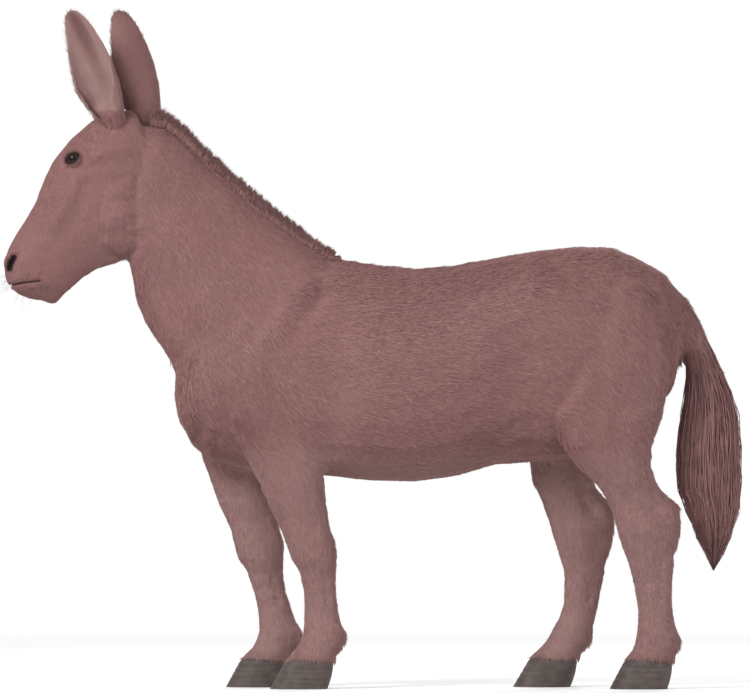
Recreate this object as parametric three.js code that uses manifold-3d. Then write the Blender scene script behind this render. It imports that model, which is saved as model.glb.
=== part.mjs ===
// A donkey that stands still, life size, in millimetres. +Z is up, the animal faces -X and its left side is -Y.
// The origin is on the floor, under the middle of the outline's box. All four hooves stand flat on Z = 0.
import * as THREE from "three";
import { mergeVertices } from "three/addons/utils/BufferGeometryUtils.js";
import Module from "manifold-3d";

const wasm = await Module();
wasm.setup();

// ---- Driving dimensions -------------------------------------------------------------------------------------------
const GAP = 0.4; // between neighbouring pieces
const LEFT = -1; // the sign of Y on each side of the animal
const RIGHT = 1;
const FAR = 4000; // longer than the whole animal, for the cutting blocks

const EYE = { x: -737, y: 77, z: 1321, radius: 21 };
const NOSTRIL = { x: -892, y: 44, z: 1063, long: 22, wide: 9, deep: 15 };
const BARREL_HALF = 204; // the trunk's half width at its widest
const CHEST_HALF = 150; // and between the shoulders
const HIP_HALF = 178; // and across the hips
const HEAD_HALF = 98; // the head's half width across the eye sockets
const MUZZLE_HALF = 57;
const FORE_TRACK = 104; // the middle plane to the middle of a fore hoof
const HIND_TRACK = 112;
const ELBOW_OUT = 90; // the same, where the leg leaves the body
const STIFLE_OUT = 104;
const EAR_LENGTH = 345; // from the base, which is sunk in the head
const EAR_HALF = 62;
const EAR_WALL = 7;
const EAR_OUT = 42; // the middle plane to the middle of an ear's base

// Where each leg's middle line runs, as [height, x] from the shoulder or hip down to the floor.
const STANCE = {
  fore_left: [[1029, -150], [789, -262], [679, -258], [569, -212], [473, -192], [398, -168], [333, -146],
    [272, -130], [183, -123], [144, -118], [108, -132], [72, -150], [0, -174]],
  fore_right: [[1029, -170], [789, -300], [679, -330], [569, -330], [473, -316], [398, -296], [333, -280],
    [272, -263], [183, -238], [144, -229], [108, -242], [72, -263], [0, -285]],
  hind_left: [[1049, 640], [899, 620], [679, 592], [569, 600], [510, 640], [449, 685], [420, 694], [361, 697],
    [242, 705], [183, 710], [149, 713], [114, 709], [74, 695], [0, 673]],
  hind_right: [[1049, 620], [899, 590], [679, 530], [569, 496], [510, 482], [449, 519], [420, 531], [361, 535],
    [242, 533], [183, 521], [149, 508], [114, 488], [74, 460], [0, 434]],
};

// ---- Shape helpers ------------------------------------------------------------------------------------------------

// Smooth values between rows of numbers, at a place counted in rows.
function smoothRows(rows) {
  const places = rows.map((row, i) => i);
  const curve = new THREE.CubicInterpolant(places, rows.flat(), rows[0].length);
  return (place) => [...curve.evaluate(place)];
}

// A closed geometry whose rows of vertices are rings: ringPoint(place from 0 to 1, turn from 0 to 1) gives a point.
// The first and the last row close to a point each.
function ringed(ringPoint, around, along) {
  const geometry = new THREE.SphereGeometry(1, around, along);
  const position = geometry.getAttribute("position");
  for (let row = 0; row <= along; row++) {
    for (let column = 0; column <= around; column++) {
      const point = ringPoint(row / along, (column % around) / around);
      position.setXYZ(row * (around + 1) + column, ...point);
    }
  }
  return geometry;
}

// A solid over stations seen from the side. A station is [ax, az, bx, bz, half, widest]: the two ends of a ring, its
// half width, and where from end a to end b it is widest. The ring's middle line lies at Y = sideways(height).
function loft(stations, { around = 20, steps = 2, corner = 0.85, grow = 0, sideways = () => 0 } = {}) {
  const rowAt = smoothRows(stations);
  const last = stations.length - 1;
  const ringPoint = (place, turn) => {
    const [ax, az, bx, bz, half, widest] = rowAt(place * last);
    const tip = place === 0 || place === 1;
    const length = Math.hypot(bx - ax, bz - az) || 1;
    const angle = 2 * Math.PI * turn;
    const share = tip ? 0.5 : ((1 - Math.cos(angle)) / 2) ** (Math.log(widest) / Math.log(0.5));
    const side = Math.sin(angle);
    const out = (share * 2 - 1) * (tip ? 0 : grow);
    const x = ax + (bx - ax) * share + ((bx - ax) / length) * out;
    const z = az + (bz - az) * share + ((bz - az) / length) * out;
    const wide = tip ? 0 : (half + grow) * Math.sign(side) * Math.abs(side) ** corner;
    return [x, sideways(z) + wide, z];
  };
  return solid(ringed(ringPoint, around, last * steps));
}

// An ellipsoid, turned about Y by tilt.
function ellipsoid([x, y, z], [rx, ry, rz], { tilt = 0, turn = 0, around = 16, along = 12 } = {}) {
  const geometry = new THREE.SphereGeometry(1, around, along).rotateX(Math.PI / 2);
  return solid(geometry.scale(rx, ry, rz).rotateY(tilt).rotateZ(turn).translate(x, y, z));
}

// A geometry as a manifold-3d solid that faces outwards.
function solid(geometry) {
  const bare = geometry.clone();
  bare.deleteAttribute("normal");
  bare.deleteAttribute("uv");
  const merged = mergeVertices(bare, 1e-3);
  const vertProperties = merged.getAttribute("position").array;
  const triVerts = new Uint32Array(merged.index.array);
  const made = new wasm.Manifold(new wasm.Mesh({ numProp: 3, vertProperties, triVerts }));
  if (made.volume() > 0) return made;
  return new wasm.Manifold(new wasm.Mesh({ numProp: 3, vertProperties, triVerts: triVerts.reverse() }));
}

// Everything on one side of the sloping line from (x1, z1) to (x2, z2) in the side view, pulled back by half a gap.
// The side kept is on the right hand of a walker who goes from the first point to the second, seen from -Y.
function sideOf(x1, z1, x2, z2) {
  const angle = Math.atan2(z2 - z1, x2 - x1);
  const block = new THREE.BoxGeometry(FAR, FAR, FAR).translate(0, 0, -FAR / 2 - GAP / 2);
  return solid(block.rotateY(-angle).translate(x1, 0, z1));
}

const join = (solids) => solids.reduce((whole, next) => whole.add(next));

// ---- Flesh --------------------------------------------------------------------------------------------------------

function trunk(grow) {
  return loft([
    [-491, 739, -491, 739, 0, 0.5],
    [-481, 829, -476, 669, 88, 0.5],
    [-446, 909, -447, 614, 128, 0.48],
    [-385, 979, -400, 569, CHEST_HALF - 4, 0.5],
    [-290, 1029, -310, 543, CHEST_HALF + 4, 0.55],
    [-190, 1067, -210, 533, CHEST_HALF + 16, 0.58],
    [-90, 1080, -105, 528, 184, 0.6],
    [10, 1063, 0, 516, BARREL_HALF - 4, 0.6],
    [110, 1053, 110, 513, BARREL_HALF, 0.58],
    [210, 1061, 215, 527, BARREL_HALF - 4, 0.55],
    [310, 1077, 310, 555, 192, 0.5],
    [410, 1093, 400, 561, HIP_HALF, 0.4],
    [510, 1104, 490, 569, HIP_HALF, 0.4],
    [600, 1104, 575, 579, HIP_HALF - 8, 0.45],
    [672, 1077, 645, 609, HIP_HALF - 26, 0.5],
    [734, 1040, 706, 669, 122, 0.5],
    [777, 985, 762, 757, 82, 0.5],
    [791, 889, 791, 889, 0, 0.5],
  ], { around: 20, steps: 1, grow });
}

function neck(grow) {
  return loft([
    [-600, 1219, -600, 1219, 0, 0.5],
    [-566, 1409, -602, 1049, 70, 0.45],
    [-520, 1409, -594, 1031, 82, 0.5],
    [-460, 1369, -583, 969, 84, 0.55],
    [-390, 1305, -560, 911, 88, 0.6],
    [-310, 1235, -525, 855, 98, 0.6],
    [-222, 1161, -498, 807, 116, 0.6],
    [-130, 1101, -478, 745, 136, 0.58],
    [-70, 1059, -440, 669, 140, 0.55],
    [-150, 809, -150, 809, 0, 0.5],
  ], { around: 18, steps: 1, grow });
}

// The skull and both jaws, from the nape to the lips.
function head(grow) {
  return loft([
    [-548, 1369, -548, 1369, 0, 0.5],
    [-588, 1443, -528, 1299, 58, 0.5],
    [-640, 1445, -540, 1209, 74, 0.45],
    [-694, 1418, -560, 1141, 86, 0.4],
    [-746, 1373, -583, 1088, HEAD_HALF - 6, 0.32],
    [-789, 1320, -617, 1065, HEAD_HALF - 6, 0.3],
    [-815, 1267, -662, 1050, 80, 0.32],
    [-833, 1217, -702, 1032, 66, 0.36],
    [-858, 1173, -731, 1008, 58, 0.4],
    [-885, 1132, -756, 986, 56, 0.45],
    [-906, 1093, -782, 973, MUZZLE_HALF, 0.45],
    [-915, 1056, -808, 966, MUZZLE_HALF - 4, 0.45],
    [-911, 1021, -836, 968, 44, 0.5],
    [-893, 993, -860, 975, 26, 0.5],
    [-878, 984, -878, 984, 0, 0.5],
  ], { around: 20, steps: 1, corner: 0.8, grow });
}

// The forms that stand out of the head on one side: eye socket, cheek, nostril wing, lips and chin.
function headForms(side, grow) {
  const add = (x, y, z, rx, ry, rz, tilt) =>
    ellipsoid([x, side * y, z], [rx + grow, ry + grow, rz + grow], { tilt, around: 10, along: 6 });
  return [
    add(-735, 56, 1318, 46, 41, 32, -0.95),
    add(-640, 48, 1173, 72, 42, 92, -0.5),
    add(-886, 30, 1071, 26, 27, 36, 0.5),
  ];
}

// One leg from inside the body down into its hoof. A profile row is [height, ahead, behind, half, widest]: how far the
// leg reaches ahead of and behind its middle line, and its half width.
const FORE_PROFILE = [
  [1029, 0, 0, 0, 0.5],
  [989, 56, 50, 40, 0.5],
  [899, 96, 80, 58, 0.5],
  [789, 124, 104, 68, 0.5],
  [679, 128, 112, 70, 0.5],
  [589, 95, 104, 62, 0.5],
  [520, 77, 92, 58, 0.5],
  [464, 67, 84, 53, 0.48],
  [407, 56, 74, 47, 0.48],
  [365, 53, 71, 47, 0.46],
  [328, 50, 66, 46, 0.45],
  [290, 41, 54, 38, 0.5],
  [244, 37, 47, 33, 0.5],
  [197, 39, 48, 34, 0.5],
  [166, 44, 51, 38, 0.5],
  [140, 47, 61, 41, 0.5],
  [110, 46, 67, 43, 0.5],
  [74, 52, 66, 48, 0.5],
  [26, 58, 64, 49, 0.5],
  [10, 0, 0, 0, 0.5],
];
const HIND_PROFILE = [
  [1049, 0, 0, 0, 0.5],
  [999, 80, 70, 48, 0.5],
  [899, 132, 124, 70, 0.5],
  [779, 140, 148, 78, 0.5],
  [679, 138, 142, 80, 0.5],
  [609, 118, 112, 76, 0.45],
  [559, 92, 98, 66, 0.45],
  [515, 76, 82, 55, 0.42],
  [482, 76, 82, 47, 0.4],
  [454, 82, 90, 43, 0.38],
  [424, 84, 88, 43, 0.4],
  [391, 78, 84, 44, 0.4],
  [356, 69, 76, 42, 0.42],
  [319, 57, 64, 37, 0.45],
  [267, 47, 54, 34, 0.5],
  [211, 41, 49, 34, 0.5],
  [175, 43, 50, 37, 0.5],
  [147, 47, 54, 41, 0.5],
  [116, 47, 66, 43, 0.5],
  [76, 54, 68, 48, 0.5],
  [28, 60, 64, 48, 0.5],
  [12, 0, 0, 0, 0.5],
];

function leg(name, grow) {
  const fore = name.startsWith("fore");
  const side = name.endsWith("left") ? LEFT : RIGHT;
  const profile = fore ? FORE_PROFILE : HIND_PROFILE;
  const top = fore ? ELBOW_OUT : STIFLE_OUT;
  const foot = fore ? FORE_TRACK : HIND_TRACK;
  const stations = profile.map(([z, ahead, behind, wide, widest]) => {
    const x = middleOf(name, z);
    return [x - ahead, z, x + behind, z, wide, widest];
  });
  const sideways = (z) => side * THREE.MathUtils.mapLinear(Math.min(z, 669), 0, 669, foot, top);
  return loft(stations, { around: 12, steps: 1, grow, sideways });
}

// The x of a leg's middle line at a height.
function middleOf(name, z) {
  const line = STANCE[name];
  const height = Math.min(z, line[0][0]);
  const after = line.findIndex(([below], i) => i > 0 && below <= height);
  const [[z1, x1], [z2, x2]] = [line[after - 1], line[after]];
  return THREE.MathUtils.mapLinear(height, z1, z2, x1, x2);
}

// The muscles that stand out of the body on one side: the breast and the point of the hip.
function muscles(side, grow) {
  const add = (x, y, z, rx, ry, rz, tilt) =>
    ellipsoid([x, side * y, z], [rx + grow, ry + grow, rz + grow], { tilt, around: 10, along: 6 });
  return [
    add(-408, 68, 731, 74, 72, 104, 0.25),
    add(440, 108, 987, 92, 68, 68, 0.2),
  ];
}

const LEGS = Object.keys(STANCE);

function allFlesh(grow) {
  const sides = [LEFT, RIGHT].flatMap((side) => [...headForms(side, grow), ...muscles(side, grow)]);
  const chin = ellipsoid([-800, 0, 986], [35 + grow, 40 + grow, 25 + grow], { tilt: 0.5, around: 10, along: 6 });
  return join([trunk(grow), neck(grow), head(grow), ...LEGS.map((name) => leg(name, grow)), ...sides, chin]);
}

const fleshWithGap = allFlesh(GAP);
const eyeball = (side, grow) => {
  const size = EYE.radius + grow;
  return ellipsoid([EYE.x, side * EYE.y, EYE.z], [size, size, size], { around: 10, along: 6 });
};
const nostril = (side) =>
  ellipsoid([NOSTRIL.x, side * (NOSTRIL.y + 9), NOSTRIL.z], [NOSTRIL.wide, NOSTRIL.deep, NOSTRIL.long],
    { tilt: 0.75, around: 10, along: 6 });
const holes = join([LEFT, RIGHT].flatMap((side) => [eyeball(side, GAP), nostril(side)]));
const body = allFlesh(0).subtract(holes);

// ---- Where the flesh is parted ------------------------------------------------------------------------------------
const HEAD_LINE = [-602, 1009, -545, 1469];
const NECK_LINE = [-520, 795, -56, 1099];
const MOUTH_LINE = [-924, 1013, -700, 1081];
const JAW_LINE = [-700, 1081, -560, 1259];

// Each cutting line is [x1, z1, x2, z2]; reversed, it gives the other side.
const flip = ([x1, z1, x2, z2]) => [x2, z2, x1, z1];
const headSide = sideOf(...flip(HEAD_LINE));
const trunkSide = sideOf(...NECK_LINE);
const neckSide = sideOf(...flip(NECK_LINE));
const bodySide = sideOf(...HEAD_LINE);

// The block that holds one whole leg: all that hangs under the body, the elbow or stifle that it hangs from, and a
// rounded bite out of the body's side for the shoulder or the haunch.
const LEG_ROOTS = {
  fore: { bite: [-10, 190, 759], size: [118, 116, 270], tilt: 0.3, ends: [-560, 60], under: 508, top: 633, reach: 112 },
  hind: { bite: [22, 200, 769], size: [166, 150, 262], tilt: 0.2, ends: [330, 900], under: 553, top: 659, reach: 120 },
};

function legBlock(name, grow) {
  const side = name.endsWith("left") ? LEFT : RIGHT;
  const { bite, size, tilt, ends, under, top, reach } = LEG_ROOTS[name.slice(0, 4)];
  const x = middleOf(name, top);
  const block = (from, to, inner, high) => {
    const box = new THREE.BoxGeometry(to - from + 2 * grow, 300, high + 200 + grow);
    return solid(box.translate((from + to) / 2, side * (150 + inner - grow), (high + grow - 200) / 2));
  };
  const round = ellipsoid([x + bite[0], side * bite[1], bite[2]], size.map((radius) => radius + grow),
    { tilt, around: 10, along: 8 });
  return join([block(...ends, 1, under), block(x - reach, x + reach, 34, top), round]);
}

// The lines that part a leg across, from the top: forearm or gaskin, cannon, foot; and the slope of the hoof's rim.
const CUTS = {
  fore: { joint: 303, fetlock: 179, rim: [74, 40] },
  hind: { joint: 372, fetlock: 189, rim: [76, 42] },
};

// Where the rim of a hoof starts and ends, in x.
function rimEnds(name) {
  const middle = middleOf(name, CUTS[name.slice(0, 4)].rim[0]);
  return [middle - 58, middle + 61];
}

function legPieces(name) {
  const { joint, fetlock, rim } = CUTS[name.slice(0, 4)];
  const whole = body.intersect(legBlock(name, 0));
  const [front, back] = rimEnds(name);
  const above = (line) => sideOf(...flip(line));
  const below = (line) => sideOf(...line);
  const jointLine = [-FAR / 4, joint, FAR / 4, joint];
  const fetlockLine = [-FAR / 4, fetlock, FAR / 4, fetlock];
  const rimLine = [front, rim[0] + GAP / 2, back, rim[1] + GAP / 2];
  return {
    upper: whole.intersect(above(jointLine)),
    cannon: whole.intersect(below(jointLine)).intersect(above(fetlockLine)),
    foot: whole.intersect(below(fetlockLine)).intersect(above(rimLine)),
  };
}

// A hoof: a flat sole, walls that lean in towards the rim, and a rim that is lower at the heel.
function hoof(name) {
  const fore = name.startsWith("fore");
  const side = name.endsWith("left") ? LEFT : RIGHT;
  const rim = CUTS[name.slice(0, 4)].rim;
  const x = middleOf(name, 0);
  const [front, back] = rimEnds(name);
  const top = (front + back) / 2;
  const wide = fore ? 54 : 52;
  const y = side * (fore ? FORE_TRACK : HIND_TRACK);
  return loft([
    [x, 0, x, 0, 0, 0.5],
    [x - 75, 0, x + 70, 0, wide, 0.58],
    [x - 74, 7, x + 71, 6, wide, 0.58],
    [(x - 74 + front) / 2, (rim[0] + 7) / 2, (x + 71 + back) / 2, (rim[1] + 6) / 2, wide - 3, 0.55],
    [front, rim[0], back, rim[1], wide - 5, 0.52],
    [top, (rim[0] + rim[1]) / 2, top, (rim[0] + rim[1]) / 2, 0, 0.5],
  ], { around: 12, steps: 1, corner: 0.82, sideways: () => y });
}

// ---- Ears, mane and tail ------------------------------------------------------------------------------------------

// A cupped leaf that stands on a narrow base. Its hollow side faces -X before it is turned.
function earShape() {
  const rowAt = smoothRows([
    [0, 30], [0.14, 39], [0.28, 51], [0.42, EAR_HALF - 1], [0.56, EAR_HALF], [0.7, EAR_HALF - 7],
    [0.84, EAR_HALF - 18], [0.93, 33], [0.98, 20], [1, 3],
  ]);
  const rows = 9;
  const ringPoint = (place, turn) => {
    const [up, wide] = rowAt(place * rows);
    if (place === 0 || place === 1) return [0, 0, up * EAR_LENGTH];
    const back = turn < 0.5; // the rounded back runs from one edge to the other, and the hollow front returns
    const sweep = (back ? turn * 4 - 1 : 3 - turn * 4) * (Math.PI / 2);
    const depth = wide * (0.85 - 0.45 * up);
    const wall = Math.min(EAR_WALL, wide / 3);
    const inward = back ? 0 : wall;
    return [(depth - inward) * Math.cos(sweep) - depth / 2, (wide - inward / 2) * Math.sin(sweep), up * EAR_LENGTH];
  };
  return ringed(ringPoint, 12, 10);
}

// An ear on one side, set at x and z: leaned forward, opened outwards and splayed sideways, in radians.
function ear(side, { x, z, lean, open, splay }) {
  const geometry = earShape().rotateZ(-side * open).rotateX(-side * splay).rotateY(-lean);
  return solid(geometry.translate(x, side * EAR_OUT, z)).subtract(fleshWithGap);
}

// The upright mane, from between the ears to the withers.
function mane() {
  const crest = [
    [-560, 1417, -546, 1401, 0], [-550, 1456, -540, 1371, 15], [-514, 1453, -495, 1363, 16],
    [-462, 1411, -430, 1311, 15], [-394, 1343, -362, 1251, 14], [-314, 1272, -286, 1181, 13],
    [-234, 1204, -210, 1119, 12], [-148, 1139, -130, 1059, 10], [-88, 1099, -82, 1041, 8],
    [-52, 1070, -54, 1056, 0],
  ];
  return loft(crest.map((row) => [...row, 0.72]), { around: 8, steps: 1, corner: 1 }).subtract(fleshWithGap);
}

const TAIL = [
  [700, 999, 700, 999, 0, 0.5],
  [762, 1012, 708, 937, 30, 0.5],
  [798, 971, 740, 909, 33, 0.5],
  [828, 919, 767, 874, 32, 0.5],
  [852, 861, 783, 835, 31, 0.5],
  [873, 806, 789, 795, 31, 0.5],
  [892, 760, 788, 755, 36, 0.5],
  [910, 718, 782, 715, 44, 0.5],
  [923, 660, 774, 659, 54, 0.5],
  [927, 589, 767, 589, 58, 0.5],
  [928, 520, 770, 520, 56, 0.5],
  [924, 460, 789, 460, 48, 0.5],
  [908, 407, 813, 407, 36, 0.5],
  [887, 352, 838, 352, 21, 0.5],
  [859, 292, 859, 292, 0, 0.5],
];
const SWITCH_LINE = [700, 769, 1000, 791];

// ---- The pieces, each with its finish -----------------------------------------------------------------------------
const finish = (color, roughness) => new THREE.MeshStandardMaterial({ color, roughness, metalness: 0 });
const COAT = finish(0x86615f, 0.9);
const MANE = finish(0x4f3634, 0.95);
const HORN = finish(0x4a3b36, 0.6);
const EYES = finish(0x1a0f0b, 0.15);

const donkey = new THREE.Group();

function place(name, made, material) {
  const { vertProperties, triVerts } = made.getMesh();
  const geometry = new THREE.BufferGeometry();
  geometry.setAttribute("position", new THREE.BufferAttribute(vertProperties, 3));
  geometry.setIndex(new THREE.BufferAttribute(triVerts, 1));
  const mesh = new THREE.Mesh(geometry, material);
  mesh.name = name;
  donkey.add(mesh);
}

const wholeHead = body.intersect(headSide);
const skullSide = sideOf(...flip(MOUTH_LINE)).intersect(sideOf(...flip(JAW_LINE)));
const jawSide = sideOf(...MOUTH_LINE).add(sideOf(...JAW_LINE));
place("head", wholeHead.intersect(skullSide), COAT);
place("lower_jaw", wholeHead.intersect(jawSide), COAT);
place("neck", body.intersect(neckSide).intersect(bodySide), COAT);
place("trunk", body.intersect(trunkSide).subtract(join(LEGS.map((name) => legBlock(name, GAP)))), COAT);

for (const name of LEGS) {
  const { upper, cannon, foot } = legPieces(name);
  place(name + "_upper", upper.intersect(trunkSide), COAT);
  place(name + "_cannon", cannon, COAT);
  place(name + "_foot", foot, COAT);
  place(name + "_hoof", hoof(name), HORN);
}

place("ear_left", ear(LEFT, { x: -628, z: 1372, lean: 0.32, open: 1.0, splay: 0.1 }), COAT);
place("ear_right", ear(RIGHT, { x: -546, z: 1366, lean: 0.211, open: 1.0, splay: 0.12 }), COAT);
place("eye_left", eyeball(LEFT, 0), EYES);
place("eye_right", eyeball(RIGHT, 0), EYES);
place("mane", mane(), MANE);

const tail = loft(TAIL, { around: 10, steps: 1 }).subtract(fleshWithGap);
place("tail_dock", tail.intersect(sideOf(...flip(SWITCH_LINE))), COAT);
place("tail_switch", tail.intersect(sideOf(...SWITCH_LINE)), MANE);

// The origin goes to the middle of the outline's box, on the floor.
const outline = new THREE.Box3().setFromObject(donkey);
const middle = outline.getCenter(new THREE.Vector3());
donkey.position.set(-middle.x, -middle.y, 0);

export default donkey;
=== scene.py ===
"""A donkey that stands still, life size: skin, coat, long hair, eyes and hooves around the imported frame.

The animal faces -X, its left side is -Y and +Z is up. Every length is in metres.
"""

import logging
import math
from dataclasses import dataclass, field
from enum import Enum

import bmesh
import bpy
import numpy as np
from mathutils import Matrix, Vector
from mathutils.bvhtree import BVHTree

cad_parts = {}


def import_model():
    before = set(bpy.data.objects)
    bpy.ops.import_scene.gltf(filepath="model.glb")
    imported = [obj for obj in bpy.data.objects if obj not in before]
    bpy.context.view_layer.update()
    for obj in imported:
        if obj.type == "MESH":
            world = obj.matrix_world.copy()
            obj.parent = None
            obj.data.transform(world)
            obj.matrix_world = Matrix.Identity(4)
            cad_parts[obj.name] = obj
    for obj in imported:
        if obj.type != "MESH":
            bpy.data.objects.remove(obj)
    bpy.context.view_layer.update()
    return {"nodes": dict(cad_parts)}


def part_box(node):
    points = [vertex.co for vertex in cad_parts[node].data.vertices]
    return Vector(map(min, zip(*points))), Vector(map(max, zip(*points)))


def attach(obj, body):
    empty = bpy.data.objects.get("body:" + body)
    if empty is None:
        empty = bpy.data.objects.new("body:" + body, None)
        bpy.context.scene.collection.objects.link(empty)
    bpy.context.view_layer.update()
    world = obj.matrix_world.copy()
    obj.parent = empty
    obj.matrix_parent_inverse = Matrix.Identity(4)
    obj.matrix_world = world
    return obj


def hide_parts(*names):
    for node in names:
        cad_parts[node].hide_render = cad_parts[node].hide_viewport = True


LOG = logging.getLogger("donkey")
BODY = "root"
SIDES = {"left": -1.0, "right": 1.0}
LEGS = ("fore_left", "fore_right", "hind_left", "hind_right")
FLESH = ("head", "lower_jaw", "neck", "trunk", "tail_dock") + tuple(
    f"{leg}_{part}" for leg in LEGS for part in ("upper", "cannon", "foot")
)
BAKE_MAP = "OFBake"
PATCH = 0.003
SEED = 1913
# What lies ahead of MID_TRUNK is a fore leg, and what lies below LEG_COAT_TOP has a leg's coat.
MID_TRUNK = 0.15
LEG_COAT_TOP = 0.60
# The heights of the legs' joints over the floor.
KNEE = 0.328
HOCK = 0.417
FETLOCK = 0.134


# ---- Small helpers -------------------------------------------------------------------------------


def ease(start: float, end: float, values: np.ndarray) -> np.ndarray:
    """Smooth steps from 0 at start to 1 at end, whichever of the two is larger."""
    share = np.clip((values - start) / (end - start), 0.0, 1.0)
    return share * share * (3.0 - 2.0 * share)


def bump(centre: float, width: float, values: np.ndarray) -> np.ndarray:
    """A smooth hump of height 1 at the centre, gone about two widths away."""
    return np.exp(-(((values - centre) / width) ** 2))


def mix(first: np.ndarray, second: np.ndarray, share: np.ndarray) -> np.ndarray:
    """Goes from first to second as share goes from 0 to 1."""
    return first + (second - first) * share


def unit(vectors: np.ndarray) -> np.ndarray:
    """The same directions with length 1."""
    return vectors / np.maximum(np.linalg.norm(vectors, axis=-1, keepdims=True), 1e-9)


def drift(points: np.ndarray, size: float, turn: float = 0.0) -> np.ndarray:
    """A slow, smooth variation between about -1 and 1 over space.

    Args:
        points: places, one row each.
        size: the length over which it varies.
        turn: shifts the pattern, so that two of them differ.

    Returns:
        One value for each place.
    """
    p = points / size
    waves = (
        np.sin(2.1 * p[:, 0] + 1.3 * p[:, 1] + turn)
        + np.sin(1.7 * p[:, 2] - 1.1 * p[:, 0] + 2.0 * turn + 1.0)
        + np.sin(2.6 * p[:, 1] + 1.9 * p[:, 2] + 0.7 * p[:, 0] + 3.0 * turn)
        + 0.5 * np.sin(4.3 * p[:, 0] - 3.1 * p[:, 2] + 2.2 * p[:, 1] + turn)
    )
    return waves / 3.0


def read_points(mesh: bpy.types.Mesh) -> np.ndarray:
    """The mesh's points, one row each."""
    flat = np.empty(len(mesh.vertices) * 3, np.float32)
    mesh.vertices.foreach_get("co", flat)
    return flat.reshape(-1, 3).astype(float)


def write_points(mesh: bpy.types.Mesh, points: np.ndarray) -> None:
    """Moves the mesh's points to these places."""
    mesh.vertices.foreach_set("co", points.astype(np.float32).ravel())
    mesh.update()


def read_normals(mesh: bpy.types.Mesh) -> np.ndarray:
    """The outward direction at each point of the mesh."""
    flat = np.empty(len(mesh.vertices) * 3, np.float32)
    mesh.vertex_normals.foreach_get("vector", flat)
    return flat.reshape(-1, 3).astype(float)


def add_object(name: str, mesh: bpy.types.Mesh) -> bpy.types.Object:
    """Puts a mesh in the scene as a named object at the origin."""
    piece = bpy.data.objects.new(name, mesh)
    bpy.context.scene.collection.objects.link(piece)
    return piece


def from_bmesh(name: str, bm: bmesh.types.BMesh) -> bpy.types.Mesh:
    """Turns a bmesh into a mesh and frees it."""
    mesh = bpy.data.meshes.new(name)
    bm.to_mesh(mesh)
    bm.free()
    return mesh


def remesh(mesh: bpy.types.Mesh, voxel: float, adaptivity: float = 0.0) -> bpy.types.Mesh:
    """Wraps a mesh in one closed surface.

    Args:
        mesh: one or more closed shells, which may meet or overlap.
        voxel: the size of the new faces.
        adaptivity: above 0, flat stretches get larger faces.

    Returns:
        A new mesh; the old one is removed.
    """
    carrier = add_object("remesh", mesh)
    wrap = carrier.modifiers.new("wrap", "REMESH")
    wrap.mode = "VOXEL"
    wrap.voxel_size = voxel
    wrap.adaptivity = adaptivity
    graph = bpy.context.evaluated_depsgraph_get()
    made = bpy.data.meshes.new_from_object(carrier.evaluated_get(graph))
    bpy.data.objects.remove(carrier)
    bpy.data.meshes.remove(mesh)
    return made


def relax(mesh: bpy.types.Mesh, strength: np.ndarray, passes: int, push: float = 0.53) -> None:
    """Smooths facets away without shrinking the shape, in pairs of a pull inwards and a push outwards.

    Args:
        mesh: the mesh to smooth, with faces of about one size.
        strength: from 0 to 1 for each point.
        passes: how many pairs.
        push: how far each pair pushes back out; 0 flattens the places for good.
    """
    points = read_points(mesh)
    count = len(points)
    edges = np.empty(len(mesh.edges) * 2, np.int32)
    mesh.edges.foreach_get("vertices", edges)
    first, second = edges.reshape(-1, 2).T
    neighbours = np.bincount(first, minlength=count) + np.bincount(second, minlength=count)
    for pull in (0.5, -push) * passes:
        middle = np.empty_like(points)
        for axis in range(3):
            values = points[:, axis]
            total = np.bincount(first, values[second], count) + np.bincount(second, values[first], count)
            middle[:, axis] = total / np.maximum(neighbours, 1)
        points += (pull * strength)[:, None] * (middle - points)
    write_points(mesh, points)


def mend(
    mesh: bpy.types.Mesh, kept: np.ndarray, sharpest: float = 1.6, rings: int = 2, passes: int = 12
) -> None:
    """Flattens the few places where a surface has folded over itself.

    Args:
        mesh: the surface.
        kept: whether each point stays as it is, folded or not.
        sharpest: the angle between two faces that isn't yet a fold.
        rings: how many rings of points round a fold are flattened with it.
        passes: how often they are smoothed.
    """
    bm = bmesh.new()
    bm.from_mesh(mesh)
    folds = [edge for edge in bm.edges if edge.calc_face_angle(0.0) > sharpest]
    folded = np.zeros(len(mesh.vertices), bool)
    folded[[vertex.index for edge in folds for vertex in edge.verts]] = True
    bm.free()
    edges = np.empty(len(mesh.edges) * 2, np.int32)
    mesh.edges.foreach_get("vertices", edges)
    first, second = edges.reshape(-1, 2).T
    for _ in range(rings):
        reached = folded[first] | folded[second]
        folded[first[reached]] = True
        folded[second[reached]] = True
    relax(mesh, (folded & ~kept) * 1.0, passes, push=0.0)


def wrap_ball(bm: bmesh.types.BMesh, around: int, along: int, shape) -> list:
    """Adds a ball to a bmesh and moves each of its points to a place of the shape's own.

    Args:
        bm: the bmesh to add to.
        around: points in each ring.
        along: rings from pole to pole.
        shape: gives a place from (share from the lower pole to the upper one, angle round the ring).

    Returns:
        The new points.
    """
    made = bmesh.ops.create_uvsphere(bm, u_segments=around, v_segments=along, radius=1.0)["verts"]
    for vertex in made:
        x, y, z = vertex.co
        share = 1.0 - math.acos(max(-1.0, min(1.0, z))) / math.pi
        vertex.co = shape(share, math.atan2(y, x))
    return made


def dress(piece: bpy.types.Object, nodes: tuple = ()) -> bpy.types.Object:
    """Fixes a finished piece to the animal and reports it.

    Args:
        piece: the finished object.
        nodes: the frame's nodes that it stands for.

    Returns:
        The same object.
    """
    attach(piece, BODY)
    if nodes:
        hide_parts(*nodes)
    LOG.info("%s: %d faces", piece.name, len(piece.data.polygons))
    return piece


# ---- Finishes ------------------------------------------------------------------------------------


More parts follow.
